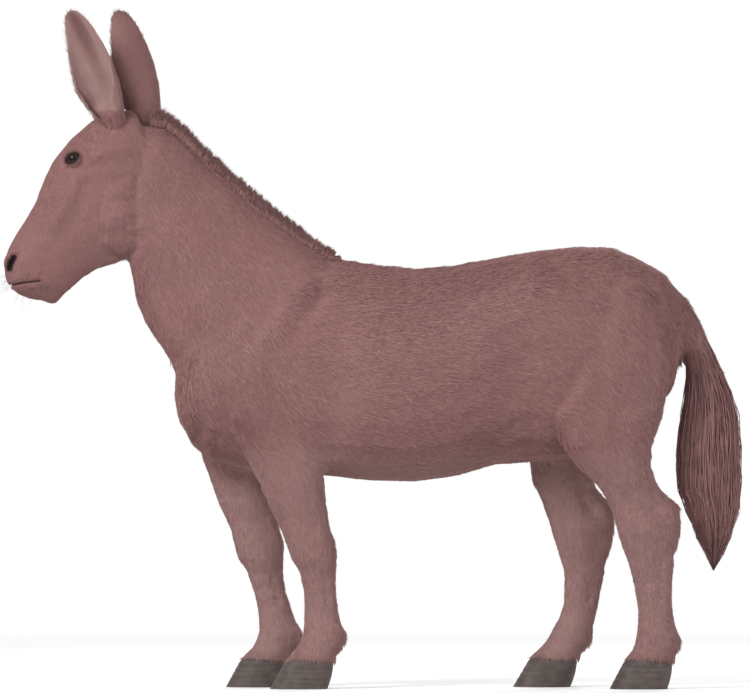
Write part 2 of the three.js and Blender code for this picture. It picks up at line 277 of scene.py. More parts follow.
class Shader:
    """A material's node tree, with short ways to add to it."""

    def __init__(self, name: str) -> None:
        """Starts a material with one Principled shader."""
        self.material = bpy.data.materials.new(name)
        self.material.use_nodes = True
        self.nodes = self.material.node_tree.nodes
        self.links = self.material.node_tree.links
        self.body = self.nodes["Principled BSDF"]

    def add(self, kind: str, **values):
        """Adds a node and sets its properties and, by name, its inputs."""
        node = self.nodes.new(kind)
        for key, value in values.items():
            if hasattr(node, key):
                setattr(node, key, value)
            else:
                node.inputs[key.replace("_", " ")].default_value = value
        return node

    def link(self, source, target) -> None:
        """Joins two sockets."""
        self.links.new(source, target)

    def attribute(self, name: str):
        """The value that a piece's points hold under this name."""
        return self.add("ShaderNodeAttribute", attribute_name=name).outputs["Fac"]

    def noise(self, scale: float, detail: float = 3.0, stretch: tuple = (1.0, 1.0, 1.0)):
        """Noise over the object's own coordinates, which may be stretched."""
        coordinates = self.add("ShaderNodeTexCoord")
        mapping = self.add("ShaderNodeMapping")
        mapping.inputs["Scale"].default_value = stretch
        texture = self.add("ShaderNodeTexNoise", Scale=scale, Detail=detail)
        self.link(coordinates.outputs["Object"], mapping.inputs["Vector"])
        self.link(mapping.outputs["Vector"], texture.inputs["Vector"])
        return texture.outputs["Fac"]

    def ramp(self, source, stops: tuple):
        """Maps a value to colours or greys, given as (position, (r, g, b)) stops."""
        node = self.add("ShaderNodeValToRGB")
        elements = node.color_ramp.elements
        while len(elements) < len(stops):
            elements.new(0.5)
        for element, (position, colour) in zip(elements, stops):
            element.position = position
            element.color = (*colour, 1.0)
        self.link(source, node.inputs["Fac"])
        return node.outputs["Color"]

    def blend(self, first, second, share):
        """Mixes two colours; each is a socket or a plain colour, and the share a socket or a number."""
        node = self.add("ShaderNodeMix", data_type="RGBA")
        sockets = [s for s in node.inputs if s.name in ("A", "B") and s.type == "RGBA"]
        for socket, value in ((sockets[0], first), (sockets[1], second), (node.inputs["Factor"], share)):
            if isinstance(value, bpy.types.NodeSocket):
                self.link(value, socket)
            elif isinstance(value, tuple):
                socket.default_value = (*value, 1.0)
            else:
                socket.default_value = value
        return next(s for s in node.outputs if s.type == "RGBA")

    def raise_by(self, height, strength: float, distance: float) -> None:
        """Gives the surface a bump from a height."""
        node = self.add("ShaderNodeBump", Strength=strength, Distance=distance)
        self.link(height, node.inputs["Height"])
        self.link(node.outputs["Normal"], self.body.inputs["Normal"])

    def finish(self, **values) -> bpy.types.Material:
        """Sets plain values on the shader's own sockets and returns the material."""
        for key, value in values.items():
            self.body.inputs[key.replace("_", " ")].default_value = value
        return self.material


@dataclass(frozen=True)
class CoatFinish:
    """The hair's colours from root to tip, with the same marks and painted shade on the skin under it."""

    root: tuple = (0.142, 0.066, 0.063)
    hair: tuple = (0.210, 0.100, 0.096)
    tip: tuple = (0.262, 0.130, 0.124)
    dark: tuple = (0.075, 0.035, 0.034)
    pale: tuple = (0.420, 0.275, 0.255)

    def marked_and_shaded(self, shader: Shader, colour):
        """Darkens and pales a colour by what the piece's points hold: marks, and painted shade in the ears'
        hollows.
        """
        shaded = shader.blend(colour, self.dark, shader.attribute("dark"))
        return shader.blend(shaded, self.pale, shader.attribute("light"))

    def hair_material(self, name: str) -> bpy.types.Material:
        """The finish of tufts and locks."""
        shader = Shader(name)
        along = shader.ramp(
            shader.attribute("along"), ((0.0, self.root), (0.45, self.hair), (1.0, self.tip))
        )
        shader.link(self.marked_and_shaded(shader, along), shader.body.inputs["Base Color"])
        return shader.finish(Roughness=0.65, Specular_IOR_Level=0.25)

    def skin_material(self) -> bpy.types.Material:
        """The finish of the skin: fine lying hair, and bare skin at the lips, lids and nostrils."""
        shader = Shader("skin")
        fine = shader.noise(420.0, 4.0, (0.35, 1.0, 0.6))
        coarse = shader.noise(38.0, 3.0)
        hair = shader.ramp(fine, ((0.25, self.root), (0.75, self.hair)))
        marked_and_shaded = self.marked_and_shaded(shader, hair)
        bare = shader.ramp(coarse, ((0.3, (0.014, 0.010, 0.010)), (0.75, (0.030, 0.020, 0.019))))
        colour = shader.blend(marked_and_shaded, bare, shader.attribute("bare"))
        shader.link(colour, shader.body.inputs["Base Color"])
        shader.raise_by(fine, 0.5, 0.0012)
        return shader.finish(Roughness=0.65, Specular_IOR_Level=0.2)


@dataclass(frozen=True)
class HornFinish:
    """Hoof horn: dark, faintly ringed round the wall, with dusty patches."""

    dark: tuple = (0.044, 0.034, 0.032)
    light: tuple = (0.074, 0.056, 0.050)
    dusty: tuple = (0.150, 0.115, 0.100)

    def material(self) -> bpy.types.Material:
        """Makes the finish."""
        shader = Shader("hoof_horn")
        streaks = shader.noise(260.0, 4.0, (1.0, 1.0, 0.08))
        rings = shader.noise(170.0, 2.0, (0.10, 0.10, 1.0))
        colour = shader.ramp(rings, ((0.30, self.dark), (0.75, self.light)))
        worn = shader.ramp(shader.noise(45.0, 4.0), ((0.35, (0.0, 0.0, 0.0)), (0.75, (0.35, 0.35, 0.35))))
        shader.link(shader.blend(colour, self.dusty, worn), shader.body.inputs["Base Color"])
        shader.raise_by(shader.blend(streaks, rings, 0.7), 0.25, 0.0005)
        return shader.finish(Roughness=0.6, Specular_IOR_Level=0.3)


@dataclass(frozen=True)
class EyeFinish:
    """A dark brown iris round a wide, level pupil, under a wet surface."""

    iris: float = 0.72
    pupil: tuple = (0.36, 0.17)
    brown: tuple = (0.034, 0.016, 0.009)
    rim: tuple = (0.013, 0.007, 0.005)
    white: tuple = (0.120, 0.075, 0.060)

    def material(self) -> bpy.types.Material:
        """Makes the finish. The piece's `gaze` map is level across and upright, 1 at a quarter turn."""
        shader = Shader("eye")
        gaze = shader.add("ShaderNodeUVMap", uv_map="gaze")
        split = shader.add("ShaderNodeSeparateXYZ")
        shader.link(gaze.outputs["UV"], split.inputs[0])
        length = shader.add("ShaderNodeVectorMath", operation="LENGTH")
        shader.link(gaze.outputs["UV"], length.inputs[0])
        wide = self.oval(shader, split)
        streak = shader.noise(900.0, 2.0)
        iris = shader.ramp(streak, ((0.3, self.rim), (0.8, self.brown)))
        edge = self.step(shader, length.outputs["Value"], self.iris - 0.10, self.iris)
        outside = shader.blend(iris, self.rim, edge)
        white = self.step(shader, length.outputs["Value"], self.iris, self.iris + 0.05)
        ball = shader.blend(outside, self.white, white)
        black = self.step(shader, wide, 1.06, 0.94)
        shader.link(shader.blend(ball, (0.004, 0.003, 0.004), black), shader.body.inputs["Base Color"])
        return shader.finish(Roughness=0.06, Specular_IOR_Level=0.15)

    def oval(self, shader: Shader, split):
        """How far out a place is in units of the pupil's own oval."""
        parts = []
        for output, half in zip(("X", "Y"), self.pupil):
            scaled = shader.add("ShaderNodeMath", operation="DIVIDE")
            shader.link(split.outputs[output], scaled.inputs[0])
            scaled.inputs[1].default_value = half
            square = shader.add("ShaderNodeMath", operation="POWER")
            shader.link(scaled.outputs[0], square.inputs[0])
            square.inputs[1].default_value = 2.0
            parts.append(square.outputs[0])
        total = shader.add("ShaderNodeMath", operation="ADD")
        shader.link(parts[0], total.inputs[0])
        shader.link(parts[1], total.inputs[1])
        return total.outputs[0]

    def step(self, shader: Shader, value, start: float, end: float):
        """A smooth step of a socket's value from 0 at start to 1 at end."""
        node = shader.add("ShaderNodeMapRange", interpolation_type="SMOOTHSTEP")
        node.inputs["From Min"].default_value = start
        node.inputs["From Max"].default_value = end
        shader.link(value, node.inputs["Value"])
        return node.outputs["Result"]


# ---- Where things are ----------------------------------------------------------------------------


@dataclass(frozen=True)
class Face:
    """The head's own directions: along runs from the forehead to the lips, and ahead out of the face."""

    eye: tuple
    eye_radius: float
    slope: float = math.radians(53.5)

    @classmethod
    def measured(cls) -> "Face":
        """Finds the eyes in the frame."""
        low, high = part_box("eye_right")
        middle = (low + high) / 2
        return cls(tuple(middle), (high.z - low.z) / 2)

    @property
    def along(self) -> np.ndarray:
        """The direction down the face."""
        return np.array([-math.cos(self.slope), 0.0, -math.sin(self.slope)])

    @property
    def ahead(self) -> np.ndarray:
        """The direction out of the front of the face."""
        return np.array([-math.sin(self.slope), 0.0, math.cos(self.slope)])

    def local(self, points: np.ndarray) -> tuple:
        """How far along, ahead and sideways places are from the middle between the eyes."""
        offset = points - np.array([self.eye[0], 0.0, self.eye[2]])
        return offset @ self.along, offset @ self.ahead, np.abs(points[:, 1])

    def place(self, along: float, ahead: float, side: float) -> np.ndarray:
        """The point in the frame at a place on the face."""
        middle = np.array([self.eye[0], 0.0, self.eye[2]])
        return middle + along * self.along + ahead * self.ahead + np.array([0.0, side, 0.0])


@dataclass(frozen=True)
class HoofShape:
    """One hoof's sizes: its sole and its rim, which is lower at the heel."""

    x: tuple
    rim_x: tuple
    rim_z: tuple
    y: float
    half: float

    @classmethod
    def measured(cls, name: str, node: bpy.types.Object) -> "HoofShape":
        """Reads the sizes from the hoof's node."""
        points = read_points(node.data)
        sole = points[points[:, 2] < 0.001]
        low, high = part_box(name)
        front = points[points[:, 2] > high.z - 0.002]
        rear = points[(points[:, 0] > front[:, 0].max()) & (points[:, 2] > 0.030)]
        return cls(
            (sole[:, 0].min(), sole[:, 0].max()),
            (front[:, 0].min(), rear[:, 0].max()),
            (high.z, rear[:, 2].max()),
            (low.y + high.y) / 2,
            (high.y - low.y) / 2,
        )

    def near(self, points: np.ndarray) -> np.ndarray:
        """Whether places belong to this hoof's leg."""
        close = (points[:, 0] > self.x[0] - 0.02) & (points[:, 0] < self.rim_x[1] + 0.04)
        return close & (np.abs(points[:, 1] - self.y) < 0.09) & (points[:, 2] < 0.13)

    def rim(self, points: np.ndarray) -> np.ndarray:
        """The rim's height over each place."""
        share = np.clip((points[:, 0] - self.rim_x[0]) / (self.rim_x[1] - self.rim_x[0]), 0.0, 1.0)
        return mix(self.rim_z[0], self.rim_z[1], share)


@dataclass(frozen=True)
class Regions:
    """Smooth masks over the body, each from 0 to 1."""

    face: Face
    hooves: tuple
    throat: tuple = ((-0.6085, 1.009), (-0.5515, 1.469))
    shoulder: tuple = ((-0.5265, 0.795), (-0.0625, 1.099))
    leg_top: tuple = (0.63, 0.47)
    foot_top: tuple = (0.24, 0.165)
    muzzle_start: tuple = (0.17, 0.27)
    poll: tuple = (1.430, 1.452)
    ear_gap: tuple = (0.010, 0.022)
    belly_top: tuple = (0.63, 0.53)
    belly_front: tuple = (-0.36, -0.30)
    dock_front: tuple = (0.752, 0.775)
    dock_side: tuple = (0.046, 0.038)

    def ahead_of(self, points: np.ndarray, line: tuple, width) -> np.ndarray:
        """1 on the head's side of a line in the side view, 0 on the tail's side."""
        (x1, z1), (x2, z2) = line
        out = np.array([-(z2 - z1), x2 - x1])
        out /= np.linalg.norm(out)
        distance = (points[:, 0] - x1) * out[0] + (points[:, 2] - z1) * out[1]
        return ease(-1.0, 1.0, distance / width)

    def head(self, points: np.ndarray) -> np.ndarray:
        """The head with the lower jaw, parted from the neck along a soft, uneven line behind the cheek."""
        uneven = points + 0.011 * drift(points, 0.055, 4.0)[:, None] * np.array([1.0, 0.0, 0.4])
        low_jaw = ease(1.20, 1.06, points[:, 2])
        return self.ahead_of(uneven, self.throat, 0.055 - 0.025 * low_jaw)

    def neck(self, points: np.ndarray) -> np.ndarray:
        """The neck, without the head."""
        return self.ahead_of(points, self.shoulder, 0.06) * (1.0 - self.head(points))

    def muzzle(self, points: np.ndarray) -> np.ndarray:
        """The end of the face, from above the nostrils."""
        along, _, _ = self.face.local(points)
        return ease(*self.muzzle_start, along) * self.head(points)

    def leg(self, points: np.ndarray) -> np.ndarray:
        """The free legs."""
        return ease(*self.leg_top, points[:, 2])

    def foot(self, points: np.ndarray) -> np.ndarray:
        """The fetlocks, pasterns and coronets."""
        return ease(*self.foot_top, points[:, 2])

    def ear(self, points: np.ndarray) -> np.ndarray:
        """The ears above the poll."""
        return ease(*self.poll, points[:, 2]) * ease(*self.ear_gap, np.abs(points[:, 1]))

    def belly(self, points: np.ndarray) -> np.ndarray:
        """The underside between the legs."""
        under = ease(*self.belly_top, points[:, 2]) * ease(*self.belly_front, points[:, 0])
        return under * (1.0 - self.leg(points) * 0.6)

    def haired(self, points: np.ndarray) -> np.ndarray:
        """Whether places are above the rims of the hooves."""
        kept = np.ones(len(points), bool)
        for hoof in self.hooves:
            kept &= ~hoof.near(points) | (points[:, 2] > hoof.rim(points) + 0.001)
        return kept

    def dock(self, points: np.ndarray) -> np.ndarray:
        """The upper tail."""
        return ease(*self.dock_front, points[:, 0]) * ease(*self.dock_side, np.abs(points[:, 1]))


# ---- The skin's relief ---------------------------------------------------------------------------


@dataclass(frozen=True)
class Stroke:
    """A ridge where the lift is positive, or a groove, along a line seen from the side."""

    points: tuple
    lift: float
    radius: float
    inner: float = 0.0

    def weigh(self, across: np.ndarray, up: np.ndarray) -> np.ndarray:
        """How strongly the stroke acts at places given by two coordinates in its own view."""
        nearest = np.full(len(across), np.inf)
        line = self.points if len(self.points) > 1 else self.points * 2
        for (x1, z1), (x2, z2) in zip(line[:-1], line[1:]):
            dx, dz = x2 - x1, z2 - z1
            length = max(dx * dx + dz * dz, 1e-12)
            share = np.clip(((across - x1) * dx + (up - z1) * dz) / length, 0.0, 1.0)
            away = np.hypot(across - x1 - share * dx, up - z1 - share * dz)
            nearest = np.minimum(nearest, away)
        return np.exp(-((nearest / self.radius) ** 2))


# Places on the face are (along, ahead) from the eye.
FACE_STROKES = (
    Stroke(((-0.030, 0.008), (-0.006, 0.022), (0.024, 0.014)), 0.0030, 0.017),
    Stroke(((-0.058, 0.000),), -0.0060, 0.020),
    Stroke(((-0.018, -0.026), (-0.070, -0.062), (-0.098, -0.090)), 0.0045, 0.014),
    Stroke(((0.030, -0.034), (0.090, -0.052), (0.165, -0.062)), 0.0038, 0.013),
    Stroke(((0.036, -0.066), (0.100, -0.090), (0.170, -0.092)), -0.0035, 0.016),
    Stroke(((0.050, -0.008), (0.120, -0.026), (0.200, -0.040)), -0.0050, 0.016),
    Stroke(((-0.040, -0.130), (0.010, -0.098), (0.065, -0.118), (0.105, -0.170)), -0.0035, 0.013),
    Stroke(((0.010, -0.165), (0.045, -0.185)), 0.0060, 0.050),
    Stroke(((-0.030, -0.222), (0.040, -0.246), (0.110, -0.242), (0.180, -0.210)), 0.0040, 0.014),
    Stroke(((0.225, -0.080), (0.262, -0.104), (0.290, -0.132)), -0.0025, 0.010),
    Stroke(((0.275, -0.052), (0.325, -0.062)), 0.0035, 0.018),
    Stroke(((0.284, -0.044), (0.306, -0.047)), 0.0028, 0.009),
)
NOSTRIL_RIM = Stroke(((0.268, -0.020), (0.280, -0.008), (0.302, -0.009), (0.322, -0.022)), 0.0045, 0.010)
NOSTRIL = Stroke(((0.286, -0.025), (0.300, -0.026), (0.314, -0.033)), -0.0190, 0.0080)
LIPS = (
    Stroke(((0.352, -0.036), (0.322, -0.064), (0.290, -0.096)), 0.0040, 0.011),
    Stroke(((0.352, -0.075), (0.322, -0.099), (0.288, -0.128)), 0.0035, 0.012),
)
MOUTH = Stroke(((0.372, -0.042), (0.352, -0.056), (0.3236, -0.0818), (0.295, -0.112)), -0.0055, 0.0032)
# Places on the body are (x, z).
BODY_STROKES = (
    Stroke(((-0.155, 0.989), (-0.215, 0.899), (-0.290, 0.789)), 0.0045, 0.048),
    Stroke(((-0.350, 0.754), (-0.310, 0.709)), 0.0080, 0.045),
    Stroke(((-0.215, 1.029), (-0.330, 0.929), (-0.425, 0.819)), -0.0045, 0.044),
    Stroke(((-0.235, 0.869), (-0.175, 0.769), (-0.160, 0.699)), 0.0070, 0.056),
    Stroke(((-0.085, 0.869), (-0.085, 0.749), (-0.105, 0.629)), -0.0060, 0.048),
    Stroke(((-0.560, 1.079), (-0.500, 0.959), (-0.430, 0.849)), -0.0045, 0.026),
    Stroke(((-0.500, 1.129), (-0.400, 0.979), (-0.320, 0.899)), 0.0050, 0.040),
    Stroke(((0.345, 0.839), (0.330, 0.749)), -0.0090, 0.070),
    Stroke(((0.430, 1.009), (0.465, 0.984)), 0.0080, 0.034),
    Stroke(((0.540, 0.949), (0.500, 0.769)), 0.0060, 0.060),
    Stroke(((0.700, 0.929), (0.690, 0.829), (0.660, 0.709)), -0.0045, 0.032),
    Stroke(((0.735, 0.929), (0.725, 0.849)), 0.0060, 0.030),
    Stroke(((0.470, 0.669), (0.455, 0.619)), 0.0070, 0.040),
)


@dataclass
class LegLine:
    """Where one leg runs, measured on the skin, so that its joints and tendons lie right."""

    heights: np.ndarray
    middle_x: np.ndarray
    middle_y: np.ndarray
    half_x: np.ndarray
    half_y: np.ndarray

    @classmethod
    def measured(cls, points: np.ndarray, leg: str, step: float = 0.012) -> "LegLine":
        """Measures a leg's slices from the coronet up to where it is free of the body."""
        fore = leg.startswith("fore")
        side = SIDES[leg.split("_")[1]]
        own = (points[:, 1] * side > 0.0) & ((points[:, 0] < MID_TRUNK) == fore)
        mine = points[own]
        rows = []
        for height in np.arange(0.045, 0.500 if fore else 0.525, step):
            ring = mine[np.abs(mine[:, 2] - height) < step]
            if rows:
                ring = ring[np.abs(ring[:, 0] - rows[-1][1]) < rows[-1][3] + 0.020]
            low, high = ring.min(0), ring.max(0)
            rows.append((height, *((low + high) / 2)[:2], *((high - low) / 2)[:2]))
        return cls(*np.array(rows).T)

    def local(self, points: np.ndarray) -> tuple:
        """How far back (-1 to 1) and outwards a place is in its slice of the leg."""
        x, y, z = points.T
        back = (x - np.interp(z, self.heights, self.middle_x)) / np.interp(z, self.heights, self.half_x)
        out = (y - np.interp(z, self.heights, self.middle_y)) / np.interp(z, self.heights, self.half_y)
        return back, out * np.sign(self.middle_y[0])


@dataclass(frozen=True)
class Ear:
    """A tall cupped ear on one side, rooted in the head and open forwards and outwards."""

    side: float
    base: tuple
    lean: float
    tip_height: float
    opened: float = 1.0
    splay: float = 0.1
    wall: float = 0.0050
    filled_to: float = 0.27
    rises: tuple = (0.0, 0.05, 0.14, 0.28, 0.42, 0.56, 0.70, 0.84, 0.93, 0.98, 1.0)
    widths: tuple = (0.008, 0.022, 0.035, 0.048, 0.0595, 0.0605, 0.0540, 0.0425, 0.0310, 0.0180, 0.0018)
    turns: tuple = (2.98, 2.98, 2.95, 2.35, 1.88, 1.64, 1.46, 1.25, 1.12, 1.04, 1.00)
    rings: int = 48
    around: int = 56

    @property
    def length(self) -> float:
        """From the sunk base to the tip."""
        return (self.tip_height - self.base[2]) / (math.cos(self.lean) * math.cos(self.splay)) - 0.002

    @property
    def join(self) -> np.ndarray:
        """Where the ear comes out of the head."""
        return np.array(self.base) + self.axis * 0.050 + self.hollow * 0.012

    @property
    def axis(self) -> np.ndarray:
        """The direction from the base to the tip."""
        return self.turned(0.0, 0.0, 1.0)

    @property
    def hollow(self) -> np.ndarray:
        """The direction that the cup is open to."""
        return self.turned(-1.0, 0.0, 0.0)

    def turned(self, x: float, y: float, z: float) -> np.ndarray:
        """Turns a place of the upright ear that faces forwards into the ear's own stance."""
        turn, tilt, lean = -self.side * self.opened, -self.side * self.splay, self.lean
        x, y = x * math.cos(turn) - y * math.sin(turn), x * math.sin(turn) + y * math.cos(turn)
        y, z = y * math.cos(tilt) - z * math.sin(tilt), y * math.sin(tilt) + z * math.cos(tilt)
        x, z = x * math.cos(lean) - z * math.sin(lean), x * math.sin(lean) + z * math.cos(lean)
        return np.array([x, y, z])

    def shape(self, up: float, angle: float) -> Vector:
        """A place on the ear: along the rounded back, round the thin rim, and back through the hollow."""
        wide = float(np.interp(up, self.rises, self.widths))
        reach = float(np.interp(up, self.rises, self.turns))
        turn = (angle / (2 * math.pi)) % 1.0
        back = turn < 0.5
        sweep = (turn * 4 - 1 if back else 3 - turn * 4) * reach
        rim = 1.0 - min(1.0, abs(sweep) / reach) ** 6
        wall = min(self.wall, wide / 3) * (0.25 + 0.75 * rim)
        radius = wide / math.sin(min(reach, math.pi / 2))
        deep = radius * (0.82 - 0.30 * up)
        filled = max(0.0, 1.0 - up / self.filled_to) ** 1.3
        floor = filled * deep * 0.9 * max(0.0, math.cos(sweep / reach * math.pi / 2))
        inward = 0.0 if back else wall + floor
        ahead = float(np.interp(up, (0.0, 0.12, 0.45), (0.0, 0.10, 0.55)))
        x = (deep - inward) * math.cos(sweep) - deep * ahead
        y = (radius - (0.0 if back else wall)) * math.sin(sweep)
        bend = -0.022 * up**3 + 0.010 * math.sin(math.pi * up)
        return Vector(self.turned(x + bend, y, up * self.length) + np.array(self.base))

    def add_to(self, bm: bmesh.types.BMesh) -> None:
        """Adds the ear as a closed shell."""
        made = wrap_ball(bm, self.around, self.rings, self.shape)
        faces = list({face for vertex in made for face in vertex.link_faces})
        bmesh.ops.recalc_face_normals(bm, faces=faces)

    def local(self, points: np.ndarray) -> tuple:
        """Share of the length from the base to the tip, and distance from the ear's middle line."""
        offset = points - np.array(self.base)
        up = offset @ self.axis
        return up / self.length, np.linalg.norm(offset - up[:, None] * self.axis, axis=1)

    def inner(self, points: np.ndarray, normals: np.ndarray) -> np.ndarray:
        """The hollow side of the ear, from 0 to 1."""
        up, away = self.local(points)
        near = ease(0.085, 0.07, away) * ease(0.18, 0.24, up) * ease(1.03, 1.0, up)
        return near * ease(0.05, 0.35, normals @ self.hollow)


@dataclass(frozen=True)
class Lids:
    """The two eyelids of one side, as a closed almond ring that hugs the ball and runs out into the skin.

    A profile row gives how far outside the opening's edge it lies, as an angle at the ball's middle, and how
    high over the ball. From hugging[0] outwards the rows follow the skin more and more.
    """

    face: Face
    side: float
    half_wide: float = math.radians(56)
    upper: float = math.radians(37)
    lower: float = math.radians(28)
    tilt: float = math.radians(-28)
    gaze: tuple = (-0.26, 0.965, 0.02)
    corner: float = 0.42
    reach: float = 0.035
    around: int = 96
    profile: tuple = (
        (-0.06, -0.0040), (0.00, 0.0002), (0.012, 0.0011), (0.035, 0.0021), (0.09, 0.0029), (0.17, 0.0031),
        (0.22, 0.0025), (0.26, 0.0015), (0.30, 0.0016), (0.34, 0.0030), (0.40, 0.0036), (0.46, 0.0032),
        (0.53, 0.0022), (0.60, 0.0010), (0.40, -0.0060), (0.10, -0.0060),
    )  # fmt: skip
    hugging: tuple = (0.38, 0.53)

    @property
    def centre(self) -> np.ndarray:
        """The middle of the eyeball."""
        x, y, z = self.face.eye
        return np.array([x, abs(y) * self.side, z])

    @property
    def axes(self) -> tuple:
        """Towards the front corner, upwards, and out along the gaze."""
        x, y, z = self.gaze
        out = unit(np.array([x, y * self.side, z]))
        level = unit(np.array([-math.cos(self.tilt), 0.0, math.sin(self.tilt)]))
        level = unit(level - (level @ out) * out)
        up = np.cross(level, out)
        up = up if up[2] > 0 else -up
        return level, up, out

    def edge(self, turn: np.ndarray) -> tuple:
        """The opening's half angles, across and upwards, towards turns round the almond."""
        sine = np.sin(turn)
        high = np.where(sine > 0, self.upper, self.lower) * sine * np.abs(sine) ** 0.25
        return self.half_wide * np.cos(turn), high

    def narrowed(self, turn: np.ndarray) -> np.ndarray:
        """How wide the lids are towards a turn: less at the two corners."""
        return self.corner + (1.0 - self.corner) * np.abs(np.sin(turn))

    def excess(self, points: np.ndarray) -> np.ndarray:
        """How far outside the opening's edge places lie, in the profile's own angle."""
        level, up, out = self.axes
        rays = unit(points - self.centre)
        away = np.arccos(np.clip(rays @ out, -1, 1))
        heading = np.arctan2(rays @ up, rays @ level)
        turns = np.linspace(-math.pi, math.pi, 361)
        across, high = self.edge(turns)
        headings = np.arctan2(high, across)
        limit = np.interp(heading, headings, np.hypot(across, high))
        return (away - limit) / np.interp(heading, headings, self.narrowed(turns))

    def covered(self, points: np.ndarray, normals: np.ndarray) -> np.ndarray:
        """1 for skin that lies under the lids and for the lids' own undersides, 0 elsewhere."""
        rows = [row for row in self.profile if row[0] <= self.hugging[0] and row[1] > -0.005]
        offset = points - self.centre
        away = np.linalg.norm(offset, axis=1)
        excess = self.excess(points)
        lid = self.face.eye_radius + np.interp(excess, *np.array(rows).T) - 0.0006
        inward = np.sum(unit(offset) * normals, axis=1) < -0.05
        under = (excess < self.hugging[0] + 0.10) & (away < lid)
        return ((away < self.face.eye_radius + 0.012) & (under | inward)).astype(float)

    def ray(self, turn: float, excess: float) -> np.ndarray:
        """The direction from the ball's middle to a place outside the opening's edge."""
        level, up, out = self.axes
        across, high = self.edge(turn)
        limit = math.hypot(across, high)
        bend = limit + excess * self.narrowed(turn)
        return out * math.cos(bend) + (level * across + up * high) / limit * math.sin(bend)

    def add_to(self, bm: bmesh.types.BMesh, skin: BVHTree) -> None:
        """Adds the lids as one closed ring, whose outer rows lie on the skin."""
        rows = len(self.profile)
        made = bmesh.ops.create_grid(bm, x_segments=self.around, y_segments=rows, size=0.5)["verts"]
        for vertex in made:
            turn = 2 * math.pi * round((vertex.co.x + 0.5) * self.around) / self.around
            excess, height = self.profile[round((vertex.co.y + 0.5) * rows) % rows]
            ray = self.ray(turn, excess)
            reach = self.face.eye_radius + height
            found = skin.ray_cast(Vector(self.centre), Vector(ray), 0.06)[3]
            if found is not None and height > -0.005:
                sunk = 0.02 * max(0.0, excess - self.hugging[1])
                followed = min(found, self.face.eye_radius + 0.008) + 0.0002 - sunk
                reach = float(mix(reach, followed, ease(*self.hugging, excess)))
            vertex.co = Vector(self.centre + ray * reach)
        faces = list({face for vertex in made for face in vertex.link_faces})
        bmesh.ops.remove_doubles(bm, verts=made, dist=1e-5)
        bmesh.ops.recalc_face_normals(bm, faces=[face for face in faces if face.is_valid])


